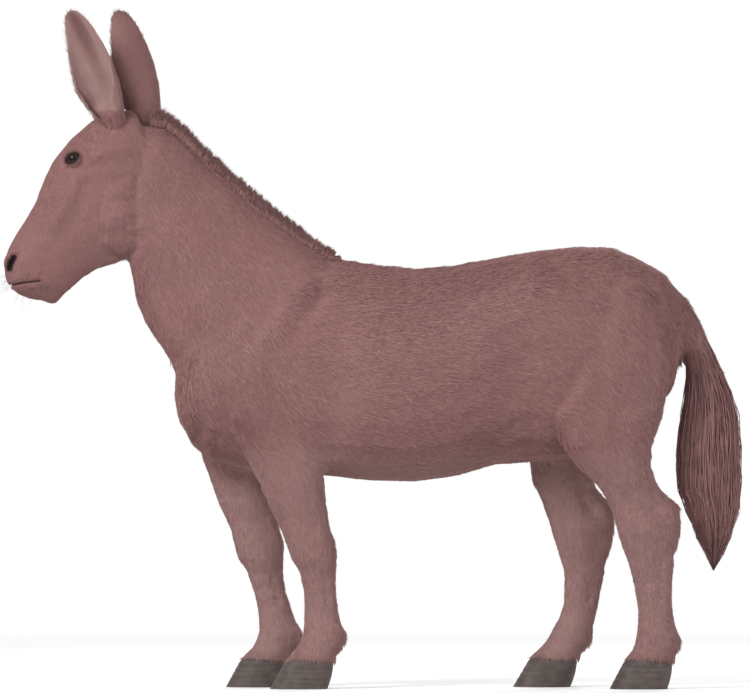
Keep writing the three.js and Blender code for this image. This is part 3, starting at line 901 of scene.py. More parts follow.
@dataclass
class Skin:
    """One closed skin over the whole animal, inside the frame's flesh by the depth of the coat."""

    nodes: dict
    regions: Regions
    ears: dict
    lids: dict
    finish: CoatFinish
    coarse: float = 0.007
    dense: float = 0.0025
    closing: float = 0.0022
    thinning: float = 0.18
    passes: int = 40
    ear_join: float = 0.046
    hem: float = 0.12
    muzzle_back: float = -0.80
    longest_edge: float = 0.0013
    leg_lines: dict = field(default_factory=dict)

    def rough(self) -> bpy.types.Mesh:
        """Wraps the flesh nodes and the eyes in one surface, with the facets smoothed away."""
        bm = bmesh.new()
        for name in FLESH + ("eye_left", "eye_right") + tuple(f"{leg}_hoof" for leg in LEGS):
            bm.from_mesh(self.nodes[name].data)
        bmesh.ops.remove_doubles(bm, verts=bm.verts, dist=1e-5)
        mesh = remesh(from_bmesh("rough", bm), self.coarse)
        points = read_points(mesh)
        strength = 1.0 - 0.45 * self.regions.leg(points) - 0.45 * self.regions.muzzle(points)
        relax(mesh, strength, self.passes)
        return mesh

    def depth(self, points: np.ndarray) -> np.ndarray:
        """How deep the coat is: from its tips to the skin."""
        depth = np.full(len(points), 0.0060)
        depth = mix(depth, 0.0045, self.regions.belly(points))
        depth = mix(depth, 0.0045, self.regions.leg(points))
        depth = mix(depth, 0.0030, self.regions.foot(points))
        depth = mix(depth, 0.0010, ease(0.105, 0.080, points[:, 2]))
        depth = mix(depth, 0.0030, self.regions.head(points))
        return mix(depth, 0.0014, self.regions.muzzle(points))

    def sculpt(self, mesh: bpy.types.Mesh) -> None:
        """Gives the dense skin its bones, muscles and folds."""
        points = read_points(mesh)
        normals = read_normals(mesh)
        faced = ease(-0.2, -0.7, normals[:, 0]) * (1.0 - self.regions.head(points))
        points -= normals * (self.depth(points) * (1.0 - 0.55 * faced))[:, None]
        lift = np.zeros(len(points))
        sideways = ease(0.15, 0.6, np.abs(normals[:, 1]))
        self.press_face(points, lift, sideways)
        self.press_body(points, lift, sideways)
        for line in self.leg_lines.values():
            self.press_leg(points, lift, line)
        points += normals * lift[:, None]
        self.press_sockets(points)
        self.tuck_feet(points)
        write_points(mesh, points)

    def press_face(self, points: np.ndarray, lift: np.ndarray, sideways: np.ndarray) -> None:
        """Adds the skull's ridges, the cheeks and the lips."""
        own = np.flatnonzero(points[:, 0] < -0.52)
        along, ahead, side = self.regions.face.local(points[own])
        gate = sideways[own] * self.regions.head(points[own])
        for stroke in FACE_STROKES + LIPS + (NOSTRIL_RIM,):
            lift[own] += stroke.lift * stroke.weigh(along, ahead) * gate
        groove = bump(0.0, 0.006, side) * ease(0.27, 0.33, along) * ease(-0.09, -0.04, ahead)
        lift[own] -= 0.0025 * groove
        bridge = bump(0.024, 0.012, side) * ease(0.02, 0.10, along) * ease(0.30, 0.22, along)
        lift[own] += 0.0020 * bridge * ease(-0.02, 0.0, ahead)

    def press_body(self, points: np.ndarray, lift: np.ndarray, sideways: np.ndarray) -> None:
        """Adds the shoulder, the haunch, the flank and the neck's grooves."""
        own = np.flatnonzero((points[:, 2] > 0.50) & (points[:, 0] > -0.62))
        gate = sideways[own] * (1.0 - self.regions.head(points[own]))
        for stroke in BODY_STROKES:
            lift[own] += stroke.lift * stroke.weigh(points[own, 0], points[own, 2]) * gate
        breast = bump(0.0, 0.016, np.abs(points[own, 1])) * ease(-0.40, -0.46, points[own, 0])
        lift[own] -= 0.008 * breast * ease(0.60, 0.68, points[own, 2]) * ease(0.90, 0.80, points[own, 2])

    def press_leg(self, points: np.ndarray, lift: np.ndarray, line: LegLine) -> None:
        """Adds the joints, tendons and pastern of one leg, each joint by the height over it."""
        fore = line.middle_x[0] < MID_TRUNK
        joint = KNEE if fore else HOCK
        top = line.heights[-1]
        near = np.abs(points[:, 0] - np.interp(points[:, 2], line.heights, line.middle_x)) < 0.16
        own = np.flatnonzero(near & (points[:, 2] < top + 0.03) & (points[:, 1] * line.middle_y[0] > 0))
        z = points[own, 2]
        back, out = line.local(points[own])
        flat = np.abs(out)
        groove = bump(0.34, 0.20, back) * ease(0.25, 0.8, flat) * ease(0.20, 0.225, z)
        moves = -0.0050 * groove * ease(joint - 0.02, joint - 0.06, z)
        moves += self.knee(back, flat, z - KNEE) if fore else self.hock(back, flat, z - HOCK)
        moves += self.fetlock(back, flat, z - FETLOCK)
        lift[own] += moves * ease(top + 0.03, top - 0.05, z)

    def knee(self, back: np.ndarray, flat: np.ndarray, up: np.ndarray) -> np.ndarray:
        """The knee: its front, the bone behind it, its broad sides and the hollows above them."""
        front = bump(-1.0, 0.5, back) * bump(0.0, 0.030, up)
        bone = bump(1.0, 0.35, back) * bump(0.034, 0.024, up) * ease(0.9, 0.3, flat)
        sides = bump(0.0, 0.5, back) * flat * bump(-0.012, 0.022, up)
        hollows = bump(0.25, 0.25, back) * ease(0.3, 0.9, flat) * bump(0.085, 0.035, up)
        return 0.0030 * front + 0.0045 * bone + 0.0030 * sides - 0.0040 * hollows

    def hock(self, back: np.ndarray, flat: np.ndarray, up: np.ndarray) -> np.ndarray:
        """The hock: its point, the hollows ahead of the tendon, its sides and the hollows above."""
        point = bump(1.0, 0.30, back) * bump(0.045, 0.022, up) * ease(0.9, 0.3, flat)
        behind = bump(0.42, 0.22, back) * ease(0.2, 0.8, flat) * ease(0.0, 0.045, up)
        sides = bump(-0.2, 0.4, back) * flat * bump(-0.020, 0.024, up)
        hollows = bump(-0.35, 0.2, back) * ease(0.3, 0.9, flat) * bump(0.06, 0.04, up)
        return 0.0070 * point - 0.0110 * behind + 0.0040 * sides - 0.0040 * hollows

    def fetlock(self, back: np.ndarray, flat: np.ndarray, up: np.ndarray) -> np.ndarray:
        """The fetlock: its round back and sides, the pastern under it and the coronet's edge."""
        ball = bump(0.9, 0.35, back) * bump(-0.004, 0.018, up)
        sides = bump(-0.2, 0.5, back) * flat * bump(0.0, 0.018, up)
        pastern = bump(0.8, 0.5, back) * bump(-0.046, 0.013, up)
        coronet = bump(-0.072, 0.010, up)
        return 0.0030 * ball + 0.0025 * sides - 0.0035 * pastern + 0.0030 * coronet

    def tuck_feet(self, points: np.ndarray) -> None:
        """Draws the skin in behind the wall of each hoof and lifts it clear of the sole."""
        for hoof in self.regions.hooves:
            own = np.flatnonzero(hoof.near(points))
            below = hoof.rim(points[own]) - points[own, 2]
            middle = np.array([(hoof.x[0] + hoof.x[1] + hoof.rim_x[0] + hoof.rim_x[1]) / 4, hoof.y])
            kept = 1.0 - 0.25 * ease(-0.001, 0.014, below)
            points[own, :2] = middle + (points[own, :2] - middle) * kept[:, None]
        points[:, 2] = np.maximum(points[:, 2], 0.026)

    def press_sockets(self, points: np.ndarray) -> None:
        """Brings the skin to the lids' outer edge, and sinks it behind the opening between them."""
        radius = self.regions.face.eye_radius
        for lids in self.lids.values():
            offset = points - lids.centre
            away = np.linalg.norm(offset, axis=1)
            own = np.flatnonzero(away < 0.050)
            excess = lids.excess(points[own])
            rise = np.interp(excess, (0.02, 0.16, 0.34, 0.60), (-0.0045, -0.0020, 0.0010, 0.0024))
            target = radius + rise
            held = ease(0.85, 0.40, excess) * ease(radius + 0.016, radius + 0.008, away[own])
            moved = mix(away[own], target, held)
            points[own] = lids.centre + offset[own] * (moved / away[own])[:, None]

    def refine(self, mesh: bpy.types.Mesh) -> None:
        """Splits the faces round the nostrils and the mouth and cuts those two in."""
        self.split(mesh)
        close = self.fine(read_points(mesh)) * 1.0
        relax(mesh, close, 6)
        self.cut_in(mesh)
        relax(mesh, close, 2)

    def split(self, mesh: bpy.types.Mesh) -> None:
        """Halves the longer edges near the nostrils and the mouth, three times over."""
        bm = bmesh.new()
        bm.from_mesh(mesh)
        for _ in range(3):
            front = [edge for edge in bm.edges if edge.verts[0].co.x < self.muzzle_back]
            edges = [edge for edge in front if edge.calc_length() > self.longest_edge]
            near = self.fine(np.array([(edge.verts[0].co + edge.verts[1].co) / 2 for edge in edges]))
            chosen = [edges[number] for number in np.flatnonzero(near)]
            bmesh.ops.subdivide_edges(bm, edges=chosen, cuts=1, use_grid_fill=True)
        bmesh.ops.triangulate(bm, faces=[face for face in bm.faces if len(face.verts) > 4])
        bm.to_mesh(mesh)
        bm.free()

    def cut_in(self, mesh: bpy.types.Mesh) -> None:
        """Sinks the nostrils and the line of the mouth."""
        points = read_points(mesh)
        normals = read_normals(mesh)
        own = np.flatnonzero(points[:, 0] < self.muzzle_back + 0.02)
        along, ahead, _ = self.regions.face.local(points[own])
        sideways = ease(0.25, 0.6, np.abs(normals[own, 1]))
        inward = unit(normals[own] * np.array([0.3, 1.0, 0.3]))
        front = ease(0.340, 0.352, along)
        lift = MOUTH.lift * MOUTH.weigh(along, ahead) * np.maximum(sideways, front)
        points[own] += normals[own] * lift[:, None]
        lift = NOSTRIL.lift * NOSTRIL.weigh(along, ahead) * sideways
        points[own] += inward * lift[:, None] + np.outer(lift, -self.regions.face.along) * 0.4
        write_points(mesh, points)

    def fine(self, places: np.ndarray) -> np.ndarray:
        """Whether places are close to a nostril or the mouth, whose narrow groove counts from farther out."""
        along, ahead, _ = self.regions.face.local(places)
        return np.maximum(NOSTRIL.weigh(along, ahead), MOUTH.weigh(along, ahead) ** 0.35) > 0.02

    @property
    def markings_and_shade(self) -> "MarkingsAndShade":
        """The marks and painted shade over the skin and the coat."""
        return MarkingsAndShade(self.regions, self.ears, self.lids)

    def store_marks_and_shade(self, mesh: bpy.types.Mesh) -> None:
        """Stores the marks and the painted shade at the skin's points."""
        dark, light, bare = self.markings_and_shade.at(read_points(mesh), read_normals(mesh))
        for name, values in (("dark", dark), ("light", light), ("bare", bare)):
            store(mesh, name, values)

    def unwrap(self, piece: bpy.types.Object) -> None:
        """Unwraps the skin by its own shape."""
        piece.data.uv_layers.new(name=BAKE_MAP)
        bpy.context.view_layer.objects.active = piece
        piece.select_set(True)
        bpy.ops.object.mode_set(mode="EDIT")
        bpy.ops.mesh.select_all(action="SELECT")
        bpy.ops.uv.smart_project(angle_limit=1.15, island_margin=0.002)
        bpy.ops.object.mode_set(mode="OBJECT")
        piece.select_set(False)

    def body(self) -> bpy.types.Mesh:
        """The body's skin without ears, with bones, muscles and folds."""
        rough = self.rough()
        coarse_points = read_points(rough)
        self.leg_lines = {leg: LegLine.measured(coarse_points, leg) for leg in LEGS}
        mesh = remesh(rough, self.dense)
        relax(mesh, np.full(len(mesh.vertices), 0.8), 4)
        self.sculpt(mesh)
        return mesh

    def add_ears(self, body: bpy.types.Mesh) -> bpy.types.Mesh:
        """Grows the ears out of the head, with soft joins, and takes the body's mesh into the new one."""
        bm = bmesh.new()
        for ear in self.ears.values():
            ear.add_to(bm)
        bm.from_mesh(body)
        bpy.data.meshes.remove(body)
        mesh = remesh(from_bmesh("skin", bm), self.closing, self.thinning)
        relax(mesh, np.full(len(mesh.vertices), 0.5), 1)
        points = read_points(mesh)
        away = [np.linalg.norm(points - ear.join, axis=1) for ear in self.ears.values()]
        joins = sum(bump(0.0, self.ear_join, distance) for distance in away)
        relax(mesh, np.clip(joins, 0.0, 1.0), 14)
        points = read_points(mesh)
        mend(mesh, (self.regions.ear(points) > 0.05) | (points[:, 2] < self.hem))
        return mesh

    def add_lids(self, mesh: bpy.types.Mesh) -> None:
        """Lays the lids on the skin round the eyes."""
        bm = bmesh.new()
        bm.from_mesh(mesh)
        tree = BVHTree.FromBMesh(bm)
        bm.free()
        bm = bmesh.new()
        for lids in self.lids.values():
            lids.add_to(bm, tree)
        bm.from_mesh(mesh)
        bm.to_mesh(mesh)
        bm.free()

    def build(self) -> bpy.types.Object:
        """Builds the skin and puts it in place of the flesh nodes and ears."""
        mesh = self.add_ears(self.body())
        self.refine(mesh)
        self.add_lids(mesh)
        mesh.polygons.foreach_set("use_smooth", np.ones(len(mesh.polygons), bool))
        mesh.name = "skin"
        self.store_marks_and_shade(mesh)
        piece = add_object("skin", mesh)
        self.unwrap(piece)
        mesh.materials.append(self.finish.skin_material())
        return dress(piece, FLESH + ("ear_left", "ear_right"))


@dataclass(frozen=True)
class MarkingsAndShade:
    """Where the coat is darker or lighter, with painted shade deep in the ears' hollows, and where the skin
    is bare.
    """

    regions: Regions
    ears: dict
    lids: dict

    def at(self, points: np.ndarray, normals: np.ndarray) -> tuple:
        """Works out the marks and the painted shade.

        Args:
            points: places on the skin.
            normals: the outward directions there.

        Returns:
            How dark, how light and how bare the places are, each from 0 to 1.
        """
        regions = self.regions
        along, _, side = regions.face.local(points)
        leg, ear = regions.leg(points), regions.ear(points)
        stripe = ease(0.035, 0.0, side) * (1.0 - regions.head(points)) * ease(0.75, 0.98, points[:, 2])
        muzzle = regions.muzzle(points) * ease(0.24, 0.34, along)
        coronet = regions.foot(points) * ease(0.10, 0.05, points[:, 2])
        inner_leg = leg * ease(0.0, 0.8, -normals[:, 1] * np.sign(points[:, 1]))
        dark = 0.06 + 0.07 * drift(points, 0.22) + 0.06 * drift(points, 0.07, 2.0)
        dark += 0.10 * stripe + 0.16 * muzzle + 0.10 * coronet
        light = 0.10 * leg + 0.22 * regions.belly(points) + 0.14 * inner_leg
        light += 0.05 * drift(points, 0.13, 5.0) + 0.06 * ear
        for each in self.ears.values():
            up, away = each.local(points)
            own = ear * (points[:, 1] * each.side > 0)
            inner = each.inner(points, normals)
            # Deep in each ear's hollow, near its middle line, the coat is darkened as painted shade; the dark
            # tip and the paler hair towards the rim are the ear's own colour.
            dark += 0.40 * own * ease(0.88, 0.99, up) + 0.30 * inner * ease(0.030, 0.008, away)
            light += 0.50 * inner * ease(0.010, 0.035, away)
        for each in self.lids.values():
            near = np.linalg.norm(points - each.centre, axis=1) < each.reach
            dark += 0.42 * near * ease(0.40, 0.06, each.excess(points))
        return np.clip(dark, 0, 1), np.clip(light, 0, 1), self.bare(points, normals)

    def bare(self, points: np.ndarray, normals: np.ndarray) -> np.ndarray:
        """Where no hair grows: the lids' edges, the nostrils and the line of the mouth."""
        along, ahead, _ = self.regions.face.local(points)
        head = self.regions.head(points)
        bare = np.zeros(len(points))
        for lids in self.lids.values():
            near = np.linalg.norm(points - lids.centre, axis=1) < lids.reach
            bare = np.maximum(bare, near * ease(0.060, 0.040, lids.excess(points)))
            bare = np.maximum(bare, lids.covered(points, normals))
        sideways = ease(0.1, 0.5, np.abs(normals[:, 1]))
        bare = np.maximum(bare, head * ease(0.3, 0.6, NOSTRIL.weigh(along, ahead)) * sideways)
        sideways = np.maximum(sideways, ease(0.33, 0.35, along))
        bare = np.maximum(bare, head * ease(0.35, 0.9, MOUTH.weigh(along, ahead)) * sideways)
        return np.clip(bare, 0, 1)


# ---- The coat ------------------------------------------------------------------------------------


@dataclass(frozen=True)
class Lie:
    """Which way the hair lies: back along the body, down the neck and legs, and down the face."""

    regions: Regions
    ears: dict
    lids: dict

    def direction(self, points: np.ndarray, normals: np.ndarray) -> np.ndarray:
        """The hair's direction along the skin at each place.

        Args:
            points: places on the skin.
            normals: the outward directions there.

        Returns:
            One unit direction for each place, tangent to the skin.
        """
        regions = self.regions
        x, z = points[:, 0], points[:, 2]
        flank = np.abs(normals[:, 1])
        drop = 0.34 * flank + 1.6 * flank * ease(0.42, 0.74, x) + 0.9 * flank * ease(-0.02, -0.30, x)
        drop += 2.5 * ease(0.55, 0.9, np.abs(normals[:, 0])) * ease(0.0, 0.3, np.abs(x))
        flow = np.stack([np.ones_like(x), np.zeros_like(x), -drop], axis=1)
        flow = self.towards(flow, (0.52, 0.0, -0.85), regions.neck(points))
        flow = self.towards(flow, (0.10, 0.0, -1.0), regions.leg(points) * ease(0.62, 0.55, z))
        flow = self.towards(flow, (0.46, 0.0, -0.89), regions.dock(points))
        flow = self.on_head(flow, points, normals)
        for ear in self.ears.values():
            own = regions.ear(points) * (points[:, 1] * ear.side > 0)
            flow = self.towards(flow, tuple(ear.axis), own)
        flow = unit(flow)
        tangent = flow - normals * np.sum(flow * normals, axis=1)[:, None]
        weak = np.linalg.norm(tangent, axis=1) < 0.12
        tangent[weak] += np.cross(normals[weak], [0.0, 1.0, 0.0])
        return unit(tangent)

    def towards(self, flow: np.ndarray, direction: tuple, share: np.ndarray) -> np.ndarray:
        """Turns the flow towards one direction by a share for each place."""
        return unit(mix(unit(flow), np.array(direction), share[:, None]))

    def on_head(self, flow: np.ndarray, points: np.ndarray, normals: np.ndarray) -> np.ndarray:
        """Lays the hair of the head down the face, back over the cheeks and away from the eyes."""
        face = self.regions.face
        along, ahead, _ = face.local(points)
        cheek = ease(0.01, -0.08, ahead) * ease(0.1, 0.7, np.abs(normals[:, 1])) * ease(0.28, 0.12, along)
        laid = mix(face.along, 0.45 * face.along - 0.90 * face.ahead, cheek[:, None])
        flow = unit(mix(flow, laid, self.regions.head(points)[:, None]))
        for lids in self.lids.values():
            offset = points - lids.centre
            outward = unit(offset - normals * np.sum(offset * normals, axis=1)[:, None])
            near = ease(0.050, 0.028, np.linalg.norm(offset, axis=1))
            across = np.minimum(np.sum(flow * outward, axis=1) - 0.45, 0.0) * near
            flow = unit(flow - outward * across[:, None])
        return flow


class Cover(Enum):
    """The parts of the coat, each a piece of its own, with the distance between its tufts."""

    MUZZLE = ("coat_muzzle", 0.0021)
    HEAD = ("coat_head", 0.0025)
    EARS = ("coat_ears", 0.0024)
    NECK = ("coat_neck", 0.0037)
    TRUNK_LEFT = ("coat_trunk_left", 0.0042)
    TRUNK_RIGHT = ("coat_trunk_right", 0.0042)
    FORE_LEGS = ("coat_fore_legs", 0.0035)
    HIND_LEGS = ("coat_hind_legs", 0.0034)


@dataclass
class Surface:
    """The skin's triangles with what grows on them."""

    mesh: bpy.types.Mesh

    def __post_init__(self) -> None:
        """Reads the triangles, their corners on the unwrap, and their sizes."""
        self.mesh.calc_loop_triangles()
        count = len(self.mesh.loop_triangles)
        corners = np.empty(count * 3, np.int32)
        loops = np.empty(count * 3, np.int32)
        self.mesh.loop_triangles.foreach_get("vertices", corners)
        self.mesh.loop_triangles.foreach_get("loops", loops)
        uv = np.empty(len(self.mesh.loops) * 2, np.float32)
        self.mesh.uv_layers[BAKE_MAP].data.foreach_get("uv", uv)
        self.corners = corners.reshape(-1, 3)
        self.points = read_points(self.mesh)
        self.normals = read_normals(self.mesh)
        self.uv = uv.reshape(-1, 2)[loops.reshape(-1, 3)]
        a, b, c = (self.points[self.corners[:, i]] for i in range(3))
        cross = np.cross(b - a, c - a)
        self.area = np.linalg.norm(cross, axis=1) / 2
        self.facing = unit(cross)
        self.middle = (a + b + c) / 3

    def scatter(self, chosen: np.ndarray, spacing: float, seed: int) -> dict:
        """Spreads roots over some of the triangles, about evenly.

        Args:
            chosen: the triangles to use.
            spacing: the distance between roots.
            seed: makes the same roots each time.

        Returns:
            The roots' places, normals and places on the unwrap.
        """
        chance = np.random.default_rng(seed)
        area = self.area[chosen]
        count = int(area.sum() / spacing**2 * 2.6)
        picked = chosen[np.searchsorted(np.cumsum(area), chance.random(count) * area.sum())]
        u, v = chance.random(count), chance.random(count)
        u, v = np.where(u + v > 1, 1 - u, u), np.where(u + v > 1, 1 - v, v)
        shares = np.stack([1 - u - v, u, v], axis=1)
        corners = self.corners[picked]
        places = np.einsum("nk,nkd->nd", shares, self.points[corners])
        cells = np.floor(places / (spacing * 0.98)).astype(np.int64)
        keys = (cells[:, 0] * 73856093) ^ (cells[:, 1] * 19349663) ^ (cells[:, 2] * 83492791)
        _, first = np.unique(keys, return_index=True)
        first = chance.permutation(first)
        normals = unit(np.einsum("nk,nkd->nd", shares[first], self.normals[corners[first]]))
        uv = np.einsum("nk,nkd->nd", shares[first], self.uv[picked[first]])
        even = np.sum(normals * self.facing[picked[first]], axis=1) > 0.75
        return {"places": places[first][even], "normals": normals[even], "uv": uv[even]}


@dataclass
class Coat:
    """Short hair all over the skin, in thin overlapping tufts."""

    surface: Surface
    regions: Regions
    lie: Lie
    markings_and_shade: MarkingsAndShade
    finish: CoatFinish
    most: int = 49500
    barest: float = 0.35

    def chosen(self, cover: Cover) -> np.ndarray:
        """The skin's triangles that carry one part of the coat."""
        middle = self.surface.middle
        regions = self.regions
        along, _, _ = regions.face.local(middle)
        head = regions.head(middle) > 0.5
        ear = regions.ear(middle) > 0.5
        neck = (regions.neck(middle) > 0.5) & ~head
        leg = middle[:, 2] < LEG_COAT_TOP
        fore = middle[:, 0] < MID_TRUNK
        body = ~(head | ear | neck | leg)
        mask = {
            Cover.MUZZLE: head & ~ear & (along > 0.20),
            Cover.HEAD: head & ~ear & (along <= 0.20),
            Cover.EARS: ear,
            Cover.NECK: neck & ~ear,
            Cover.TRUNK_LEFT: body & (middle[:, 1] < 0),
            Cover.TRUNK_RIGHT: body & (middle[:, 1] >= 0),
            Cover.FORE_LEGS: leg & fore & ~(head | ear | neck),
            Cover.HIND_LEGS: leg & ~fore & ~(head | ear | neck),
        }[cover]
        return np.flatnonzero(mask)

    def sizes(self, points: np.ndarray, normals: np.ndarray) -> tuple:
        """The tufts' lengths, widths and how far they rise, by the part of the body.

        Each row below has a part's mask and those three sizes; a later row overrides the earlier ones.
        """
        regions = self.regions
        x, z = points[:, 0], points[:, 2]
        masks = (
            (regions.neck(points), (0.0225, 0.0030, 0.0036)),
            (regions.belly(points), (0.0300, 0.0034, 0.0055)),
            (regions.leg(points), (0.0150, 0.0025, 0.0026)),
            (regions.foot(points), (0.0115, 0.0022, 0.0020)),
            (regions.head(points), (0.0110, 0.0020, 0.0014)),
            (regions.muzzle(points), (0.0055, 0.0015, 0.0007)),
            (regions.ear(points), (0.0095, 0.0019, 0.0012)),
        )
        sizes = np.tile(np.array([0.0230, 0.0032, 0.0038]), (len(points), 1))
        for share, target in masks:
            sizes = mix(sizes, np.array(target), share[:, None])
        along, ahead, _ = regions.face.local(points)
        jaw = regions.head(points) * ease(-0.12, -0.21, ahead) * ease(0.20, 0.12, along)
        heel = ease(0.25, 0.75, normals[:, 0]) * bump(0.122, 0.032, z) * regions.leg(points)
        hock = ease(0.35, 0.8, normals[:, 0]) * regions.leg(points) * ease(0.17, 0.23, z) * 0.8
        rump = ease(0.5, 0.9, normals[:, 0]) * ease(0.6, 0.7, x) * ease(0.6, 0.7, z)
        coronet = ease(0.108, 0.085, z)
        special = [
            (jaw, (0.0180, 0.0025, 0.0030)),
            (heel, (0.0270, 0.0024, 0.0052)),
            (hock, (0.0190, 0.0026, 0.0036)),
            (rump, (0.0250, 0.0032, 0.0046)),
            (coronet, (0.0170, 0.0021, 0.0036)),
        ]
        for ear in self.lie.ears.values():
            up, _ = ear.local(points)
            own = regions.ear(points) * (points[:, 1] * ear.side > 0)
            special.append((ear.inner(points, normals) * 0.9, (0.0200, 0.0013, 0.0050)))
            special.append((own * ease(0.80, 1.0, up) * 0.6, (0.0060, 0.0014, 0.0006)))
        for lids in self.lie.lids.values():
            around = ease(0.052, 0.026, np.linalg.norm(points - lids.centre, axis=1))
            special.append((around, (0.0058, 0.0014, 0.0006)))
        for share, target in special:
            sizes = mix(sizes, np.array(target), np.clip(share, 0.0, 1.0)[:, None])
        return sizes.T

    def grow(self, cover: Cover, seed: int) -> bpy.types.Object:
        """Grows one part of the coat as one joined mesh."""
        name, spacing = cover.value
        spacing *= 1.0
        roots = self.surface.scatter(self.chosen(cover), spacing, seed)
        places, normals, uv = (roots[key][: self.most] for key in ("places", "normals", "uv"))
        dark, light, bare = self.markings_and_shade.at(places, normals)
        kept = (bare < self.barest) & self.regions.haired(places)
        if cover is Cover.HEAD:
            thinned = (Cover.HEAD.value[1] / Cover.NECK.value[1]) ** 2
            share = ease(0.5, 1.0, self.regions.head(places))
            kept &= np.random.default_rng(seed + 2).random(len(places)) < mix(thinned, 1.0, share)
        places, normals, uv, dark, light = (values[kept] for values in (places, normals, uv, dark, light))
        chance = np.random.default_rng(seed + 1)
        count = len(places)
        lie = self.lie.direction(places, normals)
        turn = 0.16 * drift(places, 0.05) + 0.13 * chance.standard_normal(count)
        across = np.cross(normals, lie)
        lie = lie * np.cos(turn)[:, None] + across * np.sin(turn)[:, None]
        length, width, rise = self.sizes(places, normals)
        length = length * (0.75 + 0.5 * chance.random(count))
        rise = rise * (0.55 + 0.9 * chance.random(count) ** 1.6)
        tone = 0.10 * chance.standard_normal(count)
        dark = np.clip(dark + np.maximum(tone, 0.0), 0.0, 1.0)
        light = np.clip(light + np.maximum(-tone, 0.0), 0.0, 1.0)
        tufts = Tufts(places, normals, lie, length, width, rise)
        piece = tufts.join(name, uv, dark, light)
        piece.data.materials.append(self.finish.hair_material(name))
        return dress(piece)

    def build(self) -> None:
        """Grows every part."""
        for number, cover in enumerate(Cover):
            self.grow(cover, SEED + 10 * number)


@dataclass
class Tufts:
    """Thin closed tufts: each starts as an edge in the skin, has a low ridge and ends in a point."""

    places: np.ndarray
    normals: np.ndarray
    lie: np.ndarray
    length: np.ndarray
    width: np.ndarray
    rise: np.ndarray
    faces: tuple = ((0, 3, 2), (1, 2, 3), (0, 2, 1), (0, 1, 3))
    lean: float = 0.22

    def join(self, name: str, uv: np.ndarray, dark: np.ndarray, light: np.ndarray) -> bpy.types.Object:
        """Joins the tufts into one mesh.

        Args:
            name: the piece's name.
            uv: each root's place on the skin's unwrap.
            dark: how dark each tuft is.
            light: how light each tuft is.

        Returns:
            The object, with its map and its points' values.
        """
        count = len(self.places)
        side = np.cross(self.normals, self.lie)
        length, width, rise = (values[:, None] for values in (self.length, self.width, self.rise))
        root = self.places - self.normals * 0.0010
        ridge = self.places + self.lie * length * 0.38 + self.normals * (rise * 0.42 + width * 0.16)
        tip = self.places + self.lie * length + self.normals * rise
        corners = np.stack([root - side * width * 0.5, root + side * width * 0.5, ridge, tip], axis=1)
        leans = np.array([-1.0, 1.0, 0.0, 0.0]) * self.lean
        shaded = unit(self.normals[:, None, :] + side[:, None, :] * leans[None, :, None])
        faces = np.array(self.faces)
        by_corner = shaded[:, faces.ravel()]
        by_corner[:, -3:] *= -1.0
        triangles = (np.arange(count)[:, None, None] * 4 + faces[None]).reshape(-1, 3)
        along = np.array([0.0, 0.0, 0.45, 1.0])
        patch = (np.array([[0.0, 0.0], [1.0, 0.0], [0.5, 0.4], [0.5, 1.0]]) - 0.5) * PATCH
        spots = (uv[:, None, :] + patch[None]).reshape(-1, 2)
        mesh = joined(name, corners.reshape(-1, 3), triangles, spots)
        store(mesh, "along", np.tile(along, count))
        store(mesh, "dark", np.repeat(dark, 4))
        store(mesh, "light", np.repeat(light, 4))
        mesh.normals_split_custom_set(by_corner.reshape(-1, 3).astype(np.float32))
        return add_object(name, mesh)


def joined(name: str, points: np.ndarray, triangles: np.ndarray, uv: np.ndarray) -> bpy.types.Mesh:
    """Makes one smooth mesh of many small things from arrays.

    Args:
        name: the mesh's name.
        points: all points.
        triangles: three point numbers in each row.
        uv: a place on the bake map for each point.

    Returns:
        The mesh, with its bake map.
    """
    mesh = bpy.data.meshes.new(name)
    mesh.vertices.add(len(points))
    mesh.vertices.foreach_set("co", points.astype(np.float32).ravel())
    mesh.loops.add(triangles.size)
    mesh.loops.foreach_set("vertex_index", triangles.astype(np.int32).ravel())
    mesh.polygons.add(len(triangles))
    mesh.polygons.foreach_set("loop_start", np.arange(0, triangles.size, 3, dtype=np.int32))
    mesh.polygons.foreach_set("use_smooth", np.ones(len(triangles), bool))
    mesh.update(calc_edges=True)
    layer = mesh.uv_layers.new(name=BAKE_MAP)
    layer.data.foreach_set("uv", uv[triangles.ravel()].astype(np.float32).ravel())
    return mesh


def store(mesh: bpy.types.Mesh, name: str, values: np.ndarray) -> None:
    """Keeps one value at each point of a mesh."""
    mesh.attributes.new(name, "FLOAT", "POINT").data.foreach_set("value", values.astype(np.float32))


